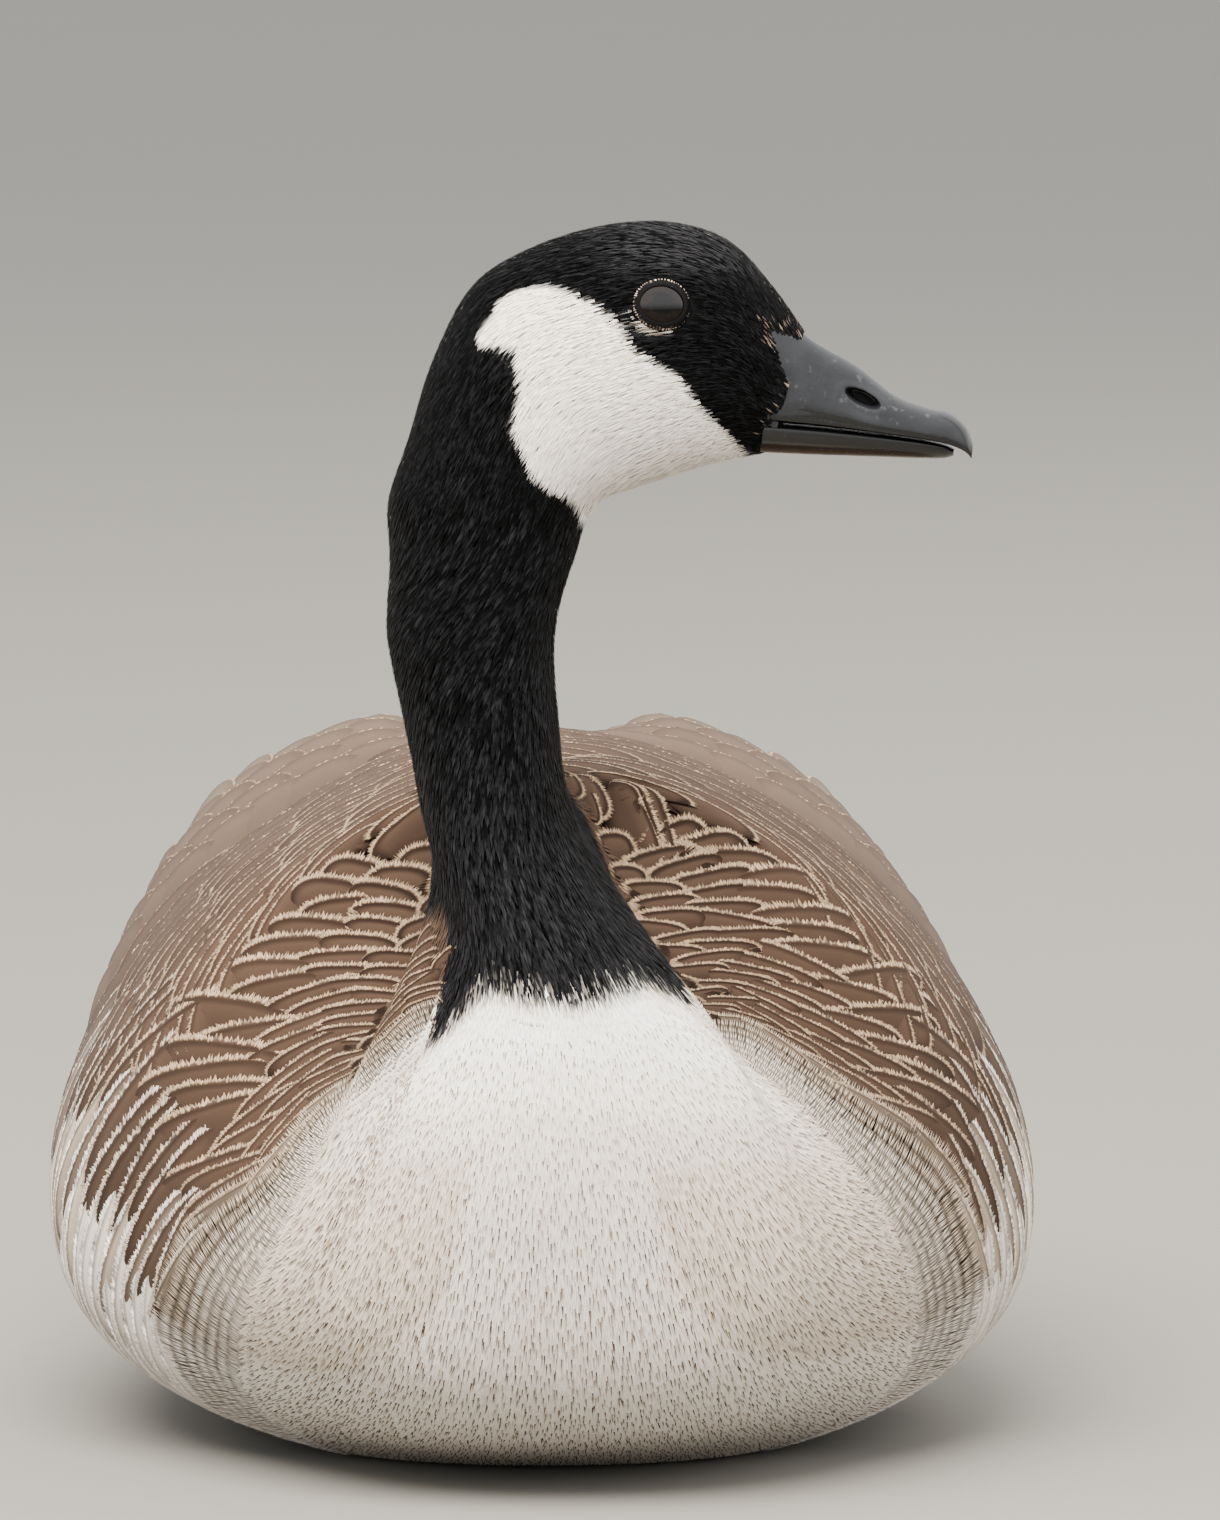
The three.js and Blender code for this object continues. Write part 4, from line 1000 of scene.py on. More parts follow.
def onHeadSide(side, f, z):  # the place and angle where the head's side has this distance and height
    place, angle, reach = placeOf["temple"], side * math.radians(60), 1.0

    def miss(s, a):
        af, _, az = headPlaceOf(formPoint(s, a))
        return math.hypot(af - f, az - z)

    for _ in range(60):
        best = min((miss(s, a), s, a) for s, a in (
            (place, angle), (place + 12 * reach, angle), (place - 12 * reach, angle),
            (place, angle + 0.5 * reach), (place, angle - 0.5 * reach)))
        if best[1] == place and best[2] == angle:
            reach *= 0.6
        place, angle = best[1], best[2]
    return place, angle


def eyeFrame(side):
    axis = unit(headRight * side + up * math.tan(math.radians(eye["upturn"]))
                + headForward * math.tan(math.radians(eye["forward"])))
    sunk = math.sqrt(eye["radius"] ** 2 - eye["long"] ** 2) - 0.5
    middle = formPoint(*onHeadSide(side, eye["f"], eye["z"])) - axis * sunk
    over = unit(up - axis * (up @ axis))
    return {"axis": axis, "middle": middle, "high": over, "long": np.cross(over, axis) * side}


eyes = {side: eyeFrame(side) for side in (1, -1)}


def rolled(x, y, degrees):
    t = math.radians(degrees)
    return x * math.cos(t) - y * math.sin(t), x * math.sin(t) + y * math.cos(t)


def eyePoint(side, turn, out, over):
    own = eyes[side]
    p, q = rolled((eye["long"] + out) * np.cos(turn), (eye["high"] + out) * np.sin(turn), -eye["tilt"])
    rise = np.sqrt(np.maximum(eye["radius"] ** 2 - p * p - q * q, 9)) + over
    return own["middle"] + np.stack([p, q, rise], -1) @ np.stack([own["long"], own["high"], own["axis"]])


def eyeReach(points, side):  # how far from the eye's middle, in lengths of its opening
    away = points - eyes[side]["middle"]
    a, b = rolled(away @ eyes[side]["long"], away @ eyes[side]["high"], eye["tilt"])
    return np.hypot(a / eye["long"], b / eye["high"])


def spunMesh(name, rows, columns, place, closed=True, shade=None):
    bm = bmesh.new()
    bmesh.ops.create_grid(bm, x_segments=columns, y_segments=rows, size=0.5)
    flat = np.array([v.co[:2] for v in bm.verts]) + 0.5
    points = place(flat[:, 0], flat[:, 1])
    keep = bm.verts.layers.float.new("shade")
    given = shade(flat[:, 0], flat[:, 1]) if shade else flat[:, 0] * 0
    for v, p, s in zip(bm.verts, points * mm, given):
        v.co = p
        v[keep] = s
    if closed:
        bmesh.ops.remove_doubles(bm, verts=bm.verts, dist=0.000004)
        bmesh.ops.holes_fill(bm, edges=[e for e in bm.edges if e.is_boundary], sides=0)
    bmesh.ops.recalc_face_normals(bm, faces=bm.faces)
    for f in bm.faces:
        f.smooth = True
    return meshFrom(bm, name)


def makeEyes():
    glass = Finish("eye gloss", Roughness=0.3, **{"Specular IOR Level": 0.1, "Coat Roughness": 0.07})
    ringAt = glass.shade("shade")
    flecks = glass.noise(700, 3)
    iris = glass.mix(flecks.step(0.4, 0.6), colour(7, 4, 3), colour(14, 8, 5))
    # painted reflection: the coat is stronger over the eye's upper half, so that it mirrors more there than
    # below
    above = glass.node("ShaderNodeSeparateXYZ", {}, {0: glass.place})["Z"] / mm - eye["z"]
    glass.feed(baseColor=glass.mix(ringAt.step(0.33, 0.36), (0.001, 0.001, 0.001), iris),
               coat=above.step(-1.2, 0.8) * 0.75 + 0.15)
    lid = Finish("lid skin", Roughness=0.6, **{"Specular IOR Level": 0.15})
    crest = lid.shade("shade")
    worn = lid.noise(1500, 2)
    patchy = lid.noise(300, 2).step(0.42, 0.6) * 0.8 + 0.25
    bead = (crest + (worn - 0.5) * 2.0).step(0.42, 0.75) * patchy
    lid.feed(baseColor=lid.mix(bead, colour(7, 6, 6), colour(176, 160, 145)),
             normal=lid.bump(worn, 0.3, 0.0002))
    for side, name in ((1, "right"), (-1, "left")):
        own = eyes[side]

        def fromPole(u, v):
            return v * eye["shown"] * math.pi

        def ball(u, v):
            out, turn = fromPole(u, v), 2 * math.pi * u
            spot = np.stack([np.sin(out) * np.cos(turn), np.sin(out) * np.sin(turn), np.cos(out)], -1)
            return own["middle"] + eye["radius"] * spot @ np.stack([own["long"], own["high"], own["axis"]])

        mesh = spunMesh(f"eyeball_{name}", 40, 64, ball, shade=fromPole)
        piece = finishPiece(f"eyeball_{name}", mesh, glass.material)
        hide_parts(f"eye_{name}")

        def beadAt(turn):
            return 0.5 + 0.5 * np.cos(eye["beads"] * turn + 2.2 * np.sin(5 * turn) + 1.4 * np.sin(11 * turn))

        def rim(u, v):
            turn, a = 2 * math.pi * u, 2 * math.pi * v
            beaded = 0.1 * beadAt(turn) * np.clip(np.sin(a + 0.5), 0, 1)
            fold = eye["rim"] * (0.95 + 0.22 * np.cos(turn - 0.4) + beaded)
            return eyePoint(side, turn, 0.85 * fold + fold * np.cos(a), 0.62 * fold * np.sin(a))

        def beadShade(u, v):
            turn, a = 2 * math.pi * u, 2 * math.pi * (v + 0.5) % (2 * math.pi) - math.pi
            return (0.1 + 0.9 * beadAt(turn)) * np.exp(-((a - 0.8) / 0.42) ** 2)

        mesh = spunMesh(f"lid_{name}", 28, 400, rim, shade=beadShade)
        finishPiece(f"lid_{name}", mesh, lid.material)


makeEyes()
print("eyes ready")

# ---- bill
bill = {
    # sections: the top's and the underside's place along the head and height, and half the width
    "upper": [(60.2, 290.4, 51.4, 269.4, 11.6), (73.5, 283.4, 66, 268.2, 11.2),
              (83.8, 275.6, 78.5, 266.8, 10.8), (92.3, 272.4, 90, 265.2, 9.8), (97.6, 271, 96.8, 263.8, 8.2),
              (101.6, 267.6, 101.2, 261.8, 5.4), (103.4, 263, 103, 259.8, 2.4)],
    "lower": [(51.4, 269, 50, 261.2, 10.3), (66, 267.8, 64, 260.6, 10.1), (78.5, 266.4, 78, 260.2, 9.5),
              (90, 264.8, 90, 259.8, 7.9), (96, 263.4, 96, 259.8, 5.2), (98.6, 262.2, 98.4, 260.4, 2.6)],
    "form": {"upper": ((1.9, 5), 0.2, 150), "lower": ((5, 2), 0.75, 90)},  # squareness, split, columns
    "gape": 0.84,  # how dark the lower horn and the upper one's edge are
    "nostril": {"f": 75.9, "z": 275.4, "long": 4.7, "high": 1.65, "tilt": 27, "deep": 4.2},
    "axisHeight": 277, "gapeHeight": 269.3,
    # where feathers give way to horn: distance along the head for each height
    "root": ([255, 261.5, 266, 270, 272.5, 274.5, 276.4, 280.6, 287.3, 294.5],
             [49.5, 49.2, 49.8, 51, 52, 55, 56.9, 55.9, 53.6, 51.4]),
    "rootTop": (51.4, 294.6, 0.29),
}


def alongRows(rows, t):
    rows = np.array(rows, float)
    i = np.minimum(t.astype(int), len(rows) - 2)
    u = (t - i)[:, None]
    a, b, c, d = (rows[np.clip(i + k, 0, len(rows) - 1)] for k in (-1, 0, 1, 2))
    return b + 0.5 * u * (c - a + u * (2 * a - 5 * b + 4 * c - d + u * (3 * (b - c) + d - a)))


def billPoint(key, t, a):
    v = alongRows(bill[key], t)
    (squareTop, squareLow), split, _ = bill["form"][key]
    c, d = np.cos(a), np.sin(a)
    power = 2 / np.where(c > 0, squareTop, squareLow)
    part = split + np.where(c > 0, 1 - split, split) * np.sign(c) * np.abs(c) ** power
    across = v[:, 4] * np.sign(d) * np.abs(d) ** power
    f, z = lerp(v[:, 2], v[:, 0], part), lerp(v[:, 3], v[:, 1], part)
    return f, across, z, part


def makeBill():
    horn = Finish("bill horn", Roughness=0.4, **{"Specular IOR Level": 0.45})
    cloud = horn.noise(70, 4)
    fine = horn.noise(420, 4)
    pits = horn.noise(1500, 2)
    tint = horn.mix(cloud.step(0.35, 0.7), colour(15, 16, 18), colour(28, 29, 32))
    tint = horn.mix(fine.step(0.58, 0.72) * 0.4, tint, colour(66, 67, 70))
    # this darkens the lower horn and the upper one's edge, and paints the nostril's hollow near black as
    # shade
    deep = horn.shade("shade")
    tint = horn.mix(deep.clamped(), tint, colour(3, 3, 3))
    rough = 0.24 + fine * 0.2 - deep.step(0.3, 0.8) * 0.1 + deep.step(0.88, 1.0) * 0.6
    horn.feed(baseColor=tint, roughness=rough, normal=horn.bump(fine * 0.6 + pits * 0.4, 0.22, 0.0005))
    hole = bill["nostril"]

    def nostrilReach(f, z):
        a, b = rolled(f - hole["f"], z - hole["z"], hole["tilt"])
        return np.hypot(a / hole["long"], b / hole["high"])

    for key in ("upper", "lower"):
        last = len(bill[key]) - 1

        def pointOf(u, v):
            f, across, z, part = billPoint(key, v * last, 2 * math.pi * u)
            side = np.sign(across)
            inward = np.zeros_like(f)
            if key == "upper":
                e = nostrilReach(f, z)  # the hollow, its raised rim and the dip round it
                inward = hole["deep"] * (1 - step(0.7, 1.12, e)) - 0.28 * np.exp(-((e - 1.35) / 0.3) ** 2)
                inward += 0.35 * (1 - step(1.2, 3.2, e))
                inward *= part > 0.05
                nail = step(94.6, 95.8, f) * (1 - step(4.2, 5.6, np.abs(across))) * (part > 0.3)
                lowEdge = np.clip(1 - np.abs(part - 0.13) / 0.08, 0, 1) * (1 - step(84, 95, f))
                teeth = np.sin(2 * math.pi * f / 1.35) * (1 - step(82, 92, f))
                teeth *= (part < 0.16) * (part > -0.02)
                inward += 0.3 * lowEdge - 0.35 * nail + 0.14 * teeth
            across = across - side * np.minimum(inward, np.abs(across) * 0.8)
            return inHead(f, across, z)

        def shadeOf(u, v):
            if key == "lower":
                return u * 0 + bill["gape"]
            f, _, z, part = billPoint(key, v * last, 2 * math.pi * u)
            # the nostril's hollow is painted near black, as shade
            hollow = (1 - step(0.6, 1.02, nostrilReach(f, z))) * (part > 0.05)
            return np.maximum(hollow, bill["gape"] * (1 - step(0.18, 0.34, part)))

        mesh = spunMesh(f"bill_{key}_horn", 170, bill["form"][key][2], pointOf, shade=shadeOf)
        piece = finishPiece(f"bill_{key}_horn", mesh, horn.material)
        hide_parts(f"bill_{key}")

    # the horn's root, which lies on the head where the feathers end
    def rootStart(share):
        line = np.linspace(placeOf["temple"] + 4, placeOf["billRoot"] + 2, 160)
        points = pointOn(bareSurface, line[:, None], np.atleast_1d(share)[None, :])
        f, _, z = headPlaceOf(points)
        start, top, slope = bill["rootTop"]
        inside = (f > np.interp(z, *bill["root"])) & (z < top - slope * (f - start))
        first = np.where(inside.any(0), inside.argmax(0), len(line) - 1)
        return line[first]

    bill["start"] = rootStart

    axisHeight = bill["axisHeight"]

    def hornAt(turn, t, swell):  # the upper horn's surface at a turn round it, for each t along it
        turns = np.linspace(-math.pi, math.pi, 241)
        ts = np.linspace(0, 1.2, 13)
        f, across, z, _ = billPoint("upper", np.repeat(ts, len(turns)), np.tile(turns, len(ts)))
        rings = np.stack([f, across, z], -1).reshape(len(ts), len(turns), 3)
        found = []
        for spots in rings:
            spotTurns = np.arctan2(spots[:, 1], spots[:, 2] - axisHeight)
            order = np.argsort(spotTurns)
            found.append(np.stack([np.interp(turn, spotTurns[order], spots[order, k]) for k in range(3)], -1))
        k = np.clip(t / 0.1, 0, 11.999)
        i, n = k.astype(int), np.arange(len(turn))
        found = np.array(found)
        spot = lerp(found[i, n], found[i + 1, n], (k - i)[:, None])
        out = unit(np.stack([spot[:, 0] * 0, spot[:, 1], spot[:, 2] - axisHeight], -1))
        spot = spot + out * swell[:, None]
        return inHead(spot[:, 0], spot[:, 1], spot[:, 2])

    def rootPoint(u, v):
        share = u * 2 - 1
        place = lerp(rootStart(share) - 0.4, placeOf["billRoot"] + 0.6, np.minimum(v / 0.5, 1))
        height = lerp(-0.42, -0.3, v) - 1.6 * (1 - step(0, 0.1, v))
        f, across, z = headPlaceOf(pointOn(bareSurface, place, share))
        height = height - 0.7 * np.exp(-((z - bill["gapeHeight"]) / 0.45) ** 2)
        points = pointOn(bareSurface, place, share, height)
        turn = np.arctan2(across, z - axisHeight)
        onHorn = hornAt(turn, lerp(0.1, 1.0, step(0.4, 1, v)), lerp(0.1, -0.2, step(0.6, 1, v)))
        onto = np.where(z > 271, step(0.3, 0.62, v), 0)
        return evened(lerp(points, onHorn, onto[:, None]), u, v)

    rootRows = 44

    def evened(points, u, v):  # softens the fold where the head's form meets the horn's
        order = np.lexsort((u, v))
        columns = int((v < 0.5 / rootRows).sum())
        grid = points[order].reshape(-1, columns, 3)
        for _ in range(60):
            soft = (grid[:-2] + 2 * grid[1:-1] + grid[2:]) / 4
            grid[6:-1] = soft[5:]
        points[order] = grid.reshape(-1, 3)
        return points

    mesh = spunMesh("bill_root", rootRows, 260, rootPoint, closed=False)
    finishPiece("bill_root", mesh, horn.material)


makeBill()
print("bill ready")

# ---- rows of fringed body feathers
shingles = {
    "from": 34, "last": 560, "first": 4.0, "grow": 0.07, "farFrom": 150, "farGrow": 0.03, "most": 17.0,
    "room": ([4, 8, 12, 17], [31, 44, 38, 32]),  # across, for each exposure
    "overlap": 3.3, "spread": 1.6, "mostTorn": 2.3,
    "end": ([0, 0.08, 0.1, 0.36, 0.4, 0.44, 1], [165, 165, 52, 66, 70, 236, 236]),  # by the share
    "inView": 120,  # what lies further back has fewer barbs
}
back = {  # rows along the midline, which start behind the neck
    "start": ([0, 0.1, 0.13, 0.15, 0.4], [507, 502, 490, 448, 445]), "share": 0.4, "end": 165,
    "first": 3.6, "grow": 0.13, "most": 19, "run": 200,
    "reach": ([441, 449, 507], [0.4, 0.13, 0.11]),  # how far aside they go at each place
}
fullBlade = [bladeForm(104, k, square=0.74, shoulder=0.64) for k in (3, 8, 21)]
plainBlade = [bladeForm(40, k, square=0.74, shoulder=0.64) for k in (5, 13, 34)]
sliver, tuft = sliverForm(), sliverForm(full=False)


def farFromNeck(beds):
    q = np.linspace(-1, 1, 181)
    rim = pointOn(coatSurface, collarAt(q), q)
    spots = pointOn(coatSurface, beds[:, 0], beds[:, 1])
    return np.linalg.norm(spots[:, None] - rim[None], axis=2).min(1)


def levelsFrom(first, last, exposure):
    levels = [first]
    while levels[-1] < last:
        levels.append(levels[-1] + exposure(levels[-1]))
    return levels


def bodyRows():
    def exposure(far):
        near = shingles["first"] + shingles["grow"] * (far - shingles["from"])
        return min(near + shingles["farGrow"] * max(far - shingles["farFrom"], 0), shingles["most"])

    levels = levelsFrom(shingles["from"] + 1.0, shingles["last"], exposure)
    beds = layContours(levels, exposure, lambda far: np.interp(exposure(far), *shingles["room"]), 0.1)
    beds = beds[farFromNeck(beds) > 1]
    beds = beds[np.abs(beds[:, 1]) > np.interp(beds[:, 0], *back["reach"]) - 0.02]
    q = np.linspace(-back["share"], back["share"], 161)
    rows = layRows(np.interp(np.abs(q), *back["start"]), placeAt(q * 0 + back["end"]),
                   lambda run: np.minimum(back["first"] + back["grow"] * run, back["most"]),
                   lambda e: 14 + 1.1 * e, q)
    rows = rows[np.abs(rows[:, 1]) < np.interp(rows[:, 0], *back["reach"]) + 0.01]
    rows[:, 4] = back["run"]
    beds = np.concatenate([beds, rows])
    end = placeAt(np.interp(np.abs(beds[:, 1]), *shingles["end"]))
    keep = (beds[:, 0] > end) & (beds[:, 0] < collarAt(beds[:, 1]) + 2)
    black, _ = markingsAt(beds[:, 0], beds[:, 1], run=beds[:, 4])
    return beds[keep & (black < 0.3)]


def torn(beds, lay):  # where the bend is too tight for a blade to keep its form
    form = plainBlade[0]
    points = layForm(form, beds, lay)
    firm = (form["edge"][form["faces"]] > 2).all(1)
    a, b = form["faces"][firm, 0], form["faces"][firm, 1]
    u, v = (form["points"][a] - form["points"][b]).T
    flat = np.hypot(u * lay["wide"][:, None] / 2, v * lay["long"][:, None]) + 1.0
    grown = np.linalg.norm(points[:, a] - points[:, b], axis=2) / flat
    tip, root = (points[:, find(form["points"][:, 1]), 2] for find in (np.argmax, np.argmin))
    return (grown.max(1) > shingles["mostTorn"]) | ((tip - root > 0.5 * lay["long"]) & (root > 150))


def dressBody():
    beds = bodyRows()
    place, share, e, w, run = beds[:, :5].T
    large, fromNeck = step(3, 12, e), farFromNeck(beds)
    # by the neck the painted shade is stronger and the feathers darker
    byNeck = 1 - step(15, 60, fromNeck)
    fringe = 0.75 + 0.25 * step(32, 56, run) + 0.7 * flankAt(place, share) ** 0.5
    contrast = 0.8 + 0.35 * step(28, 56, run) - 0.5 * step(150, 260, run) + 0.6 * byNeck
    shades = markShades(beds, 0.45, fringe, contrast, run)
    shades["tone"] = shades["tone"] + byNeck
    long = np.minimum(shingles["overlap"] * e, run - shingles["from"] + 1.5 * e)
    for _ in range(3):  # a feather too long for the bend that it lies in is shortened
        tip = pointOn(coatSurface, place, share)
        root = tip - beds[:, 6:9] * long[:, None]
        a, b = stepsFor(coatSurface, place, share, root - tip)
        s, q = settled(coatSurface, place + a, share + b, root)
        missed = np.linalg.norm(pointOn(coatSurface, s, q) - root, axis=1)
        long = np.where(missed > 0.09 * long + 1.5, long * 0.6, long)
    wide = shingles["spread"] * w * (1 + draw.normal(0, 0.06, len(beds)))
    lay = {"long": long, "wide": np.minimum(wide, 1.3 * fromNeck + 6), "sunk": lerp(-1.3, -2.6, large),
           "raised": 0.1 + 0.4 * large, "turn": draw.normal(0, 0.06, len(beds)), "arch": 0.004 * w + 0.1,
           "tilt": 0.2 + 0.3 * large, "thick": 0.12 + 0.1 * large, "fray": 0.5 + 1.5 * step(1.0, 8, e),
           "curl": draw.normal(0, 0.08, len(beds)) * e / 10}
    for _ in range(3):
        bad = torn(beds, lay)
        lay["long"][bad] *= 0.65
        lay["wide"][bad] *= 0.7
    fit = ~torn(beds, lay)
    pick = draw.integers(0, 3, len(beds))
    inView = pointOn(coatSurface, place, share)[:, 1] < shingles["inView"]
    for sideName, sign in (("Left", -1), ("Right", 1)):
        for k, form in enumerate(fullBlade + plainBlade):
            mine = fit & (np.sign(share) == sign) & (pick == k % 3) & (inView == (k < 3))
            coatPart(f"bodyFeathers{sideName}{k + 1}", form, mine, beds, lay, "body_feathers", shades)


dressBody()
print("body feathers ready")


# ---- fine tips on the breast, neck and head
mostFaces = 150000  # past this a coat piece is made in two halves


def layFine(name, beds, lay, slot, form=sliver, change=None):
    roots = pointOn(coatSurface, beds[:, 0], beds[:, 1])
    _, across, _ = headPlaceOf(roots)
    for side in (1, -1):  # the eyes stay clear
        ahead = pointOn(coatSurface, beds[:, 0] + 2.2, beds[:, 1])
        near = (eyeReach(roots, side) < 1.33) | (eyeReach(ahead, side) < 1.2)
        near &= (across * side > 0) & (beds[:, 0] > placeOf["crownBack"])
        beds, roots, across = beds[~near], roots[~near], across[~near]
    shades = markShades(beds, 0.5)
    change(beds, shades)
    own = {k: v(beds) if callable(v) else v for k, v in lay.items()}
    make = coatPair if len(beds) * len(form["faces"]) > mostFaces else coatPiece
    make(name, form, beds, own, slot, shades)


def fineBeds(start, end, exposure, room):  # rows right round, between two places given for each share
    q = np.linspace(-1, 1, 721)
    return layRows(start(q) + q * 0, end(q) + q * 0, exposure, steady(room), q, jitter=0.3)


def varied(middle, spread):  # each bed draws its own
    return lambda beds: middle + draw.normal(0, spread, len(beds))


breastTips = {"long": varied(8.5, 0.8), "wide": 1.1, "sunk": -0.28, "raised": varied(0.06, 0.015),
              "turn": varied(0, 0.04), "thick": 0.008}
# short strokes painted as the shade between the breast feathers' split barbs
breastMarks = {**breastTips, "long": lambda beds: 1.5 + 2.0 * step(10, 80, beds[:, 4]), "wide": 0.42,
               "sunk": 0.02, "raised": 0.26, "thick": 0.03}
sideTips = {"long": lambda beds: varied(2.1 * beds[:, 2], 0.2)(beds), "wide": 0.66, "sunk": -1.1,
            "raised": varied(0.5, 0.12), "turn": varied(0, 0.09), "thick": 0.16}
neckTips = {"long": varied(5.6, 0.5), "wide": 0.95, "sunk": -0.55, "raised": varied(0.12, 0.05),
            "turn": varied(0, 0.06), "thick": 0.08}
headTips = {"long": lambda beds: 2.3 + 1.6 * step(0, 40, beds[:, 4]), "wide": 0.85, "sunk": -0.4,
            "raised": varied(0.06, 0.04), "turn": varied(0, 0.1), "thick": 0.08}
fineRows = {  # the exposure for each run, and the room
    # the marks are the breast's strokes of painted shade
    "breast": (steady(2.6), 0.62), "marks": (steady(3.4), 1.5), "neck": (steady(1.9), 0.85),
    "head": (lambda run: 0.95 + 0.7 * step(0, 40, run), 0.62),
    "side": (lambda far: 3.6 + 0.04 * far, 0.6), "sideFirst": 3.0, "sideTones": 40,
}


def dressFineParts():
    def lowest(q):
        return np.interp(q, *marks["apronLow"]) - 4

    beds = fineBeds(lambda q: collarAt(q) + 1, lowest, *fineRows["breast"])
    beds = beds[fromTable(apronFar, beds[:, 0], beds[:, 1]) < 3 + 8 * draw.random(len(beds))]
    layFine("breastTips", beds, breastTips, "body_feathers", change=lambda b, s: s.update(
        pale=np.clip(s["pale"] - np.abs(draw.normal(0, 0.03, len(b))), 0, 1)))
    # short grey-brown strokes over the breast, painted as the shade between its feathers' split barbs
    beds = fineBeds(lambda q: collarAt(q) - 5, lowest, *fineRows["marks"])
    beds = beds[fromTable(apronFar, beds[:, 0], beds[:, 1]) < 5]
    layFine("breastMarks", beds, breastMarks, "body_feathers", form=tuft, change=lambda b, s: s.update(
        pale=draw.uniform(0.1, 0.5, len(b)) - 0.15 * step(10, 70, b[:, 4])))

    exposure, room = fineRows["side"]
    levels = levelsFrom(fineRows["sideFirst"], shingles["from"] + 1, exposure)
    beds = layContours(levels, exposure, steady(room), 0.06, packed=False)
    beds = beds[(beds[:, 0] < collarAt(beds[:, 1]) + 1) & (farFromNeck(beds) > 2)]
    rowTone = draw.normal(0, 0.5, fineRows["sideTones"])
    # strong painted shade at the root of each tip sets the rows apart
    layFine("sideTips", beds, sideTips, "body_feathers", change=lambda b, s: s.update(
        tone=s["tone"] + rowTone[b[:, 5].astype(int) % len(rowTone)], contrast=1.5 + step(2, 14, b[:, 4]),
        pale=np.maximum(s["pale"], draw.uniform(0.5, 0.66, len(b)))))
    beds = fineBeds(lambda q: placeOf["throat"], lambda q: collarAt(q) - 7, *fineRows["neck"])
    # more painted grey sheen on the neck near the collar
    layFine("neckTips", beds, neckTips, "black_feathers", change=lambda b, s: s.update(
        tone=s["tone"] + 1.6 * (1 - step(8, 45, b[:, 0] - collarAt(b[:, 1]))) * draw.random(len(b))))
    beds = fineBeds(bill["start"], lambda q: placeOf["throat"], *fineRows["head"])

    def worn(b, s):  # brownish and pale specks by the bill and a grey gloss on the crown
        n = len(b)
        f, _, z = headPlaceOf(pointOn(coatSurface, b[:, 0], b[:, 1]))
        nearBill = (1 - step(1, 6, b[:, 4])) * (0.25 + step(288, 293, z))
        speck = (draw.random(n) < 0.15 * nearBill) & (s["black"] > 0.5)
        s["black"] = np.where(speck, draw.uniform(0.35, 0.85, n), s["black"])
        s["pale"] = np.where(speck, draw.uniform(0.1, 0.5, n), s["pale"])
        inSpot = inwards(marks["spot"], f, z) > -0.6
        s["pale"] = np.where(inSpot, draw.uniform(0.3, 1.0, n), s["pale"])
        s["pale"] = np.where(s["black"] < 0.5, np.minimum(s["pale"], draw.uniform(0.72, 0.9, n)), s["pale"])
        # the grey gloss on the crown is painted sheen
        crown = step(303, 313, z) * step(-5, 25, f)
        s["tone"] = s["tone"] + 3.2 * crown * (draw.random(n) < 0.5)

    layFine("headTips", beds, headTips, "black_feathers", form=tuft, change=worn)


dressFineParts()
print("fine tips ready")

# ---- wings: a sheet that carries them, big feathers in tiers and the long blades over the rump
wing = {
    # the first and last tip's place behind the middle and degrees from the back's midline, then the feathers
    "tertials": {"tips": [(206, 15), (174, 60)], "count": 7, "long": 110, "wide": 34,
                 "bulge": 8, "curl": 5, "fringe": 1.05, "pale": 0.1},
    "innerTertials": {"tips": [(178, 13), (152, 68)], "count": 7, "long": 96, "wide": 34,
                      "bulge": 6, "curl": 2.5, "fringe": 1.0, "pale": 0.06},
    "secondaries": {"tips": [(148, 14), (130, 74)], "count": 8, "long": 84, "wide": 33,
                    "bulge": 3, "curl": 1.2, "fringe": 1.0, "pale": 0.04},
    "greaterCoverts": {"tips": [(119, 15), (110, 74)], "count": 8, "long": 74, "wide": 33,
                       "bulge": 0, "curl": 0.6, "fringe": 0.95, "pale": 0.03},
    "middleCoverts": {"tips": [(90, 15), (92, 73)], "count": 9, "long": 62, "wide": 31,
                      "bulge": 0, "curl": 0.2, "fringe": 0.9, "pale": 0.03},
}
primaries = {"count": 6, "root": (57, 124, 151), "tip": (13, 331, 116), "wide": 19, "shorter": 18,
             "outward": 3.6, "above": 2.6}
wingSheet = {"degrees": (10, 76), "first": -70, "last": 150, "rounded": 26, "deep": 2.6, "thick": 1.8,
             "edge": 0.06}
longBlade = bladeForm(40, 5, square=0.72, shoulder=0.62, rootWide=0.5)


def layStraight(form, roots, tips, across, lay):  # blades that run from root to tip over the rump and tail
    each = perBed({**straightLay, **lay}, len(roots))
    ahead = unit(tips - roots)
    side = unit(across - (across * ahead).sum(-1, keepdims=True) * ahead)
    over = np.cross(side, ahead)
    over = np.where(over[:, 2:] < 0, -over, over)
    u, v, fray = form["points"][None, :, 0], form["points"][None, :, 1], form["fray"][None]
    t = v[..., None]
    points = roots[:, None] * (1 - t) + tips[:, None] * t
    points = points + side[:, None] * (u * each["wide"] / 2 + fray[..., 0] * each["fray"])[..., None]
    points = points + ahead[:, None] * (fray[..., 1] * each["fray"])[..., None]
    height = (each["arch"] * (1 - u * u) + 4 * each["sag"] * v * (1 - v)
              + form["height"][None] * each["thick"] + each["tilt"] * u)
    return points + over[:, None] * height[..., None]


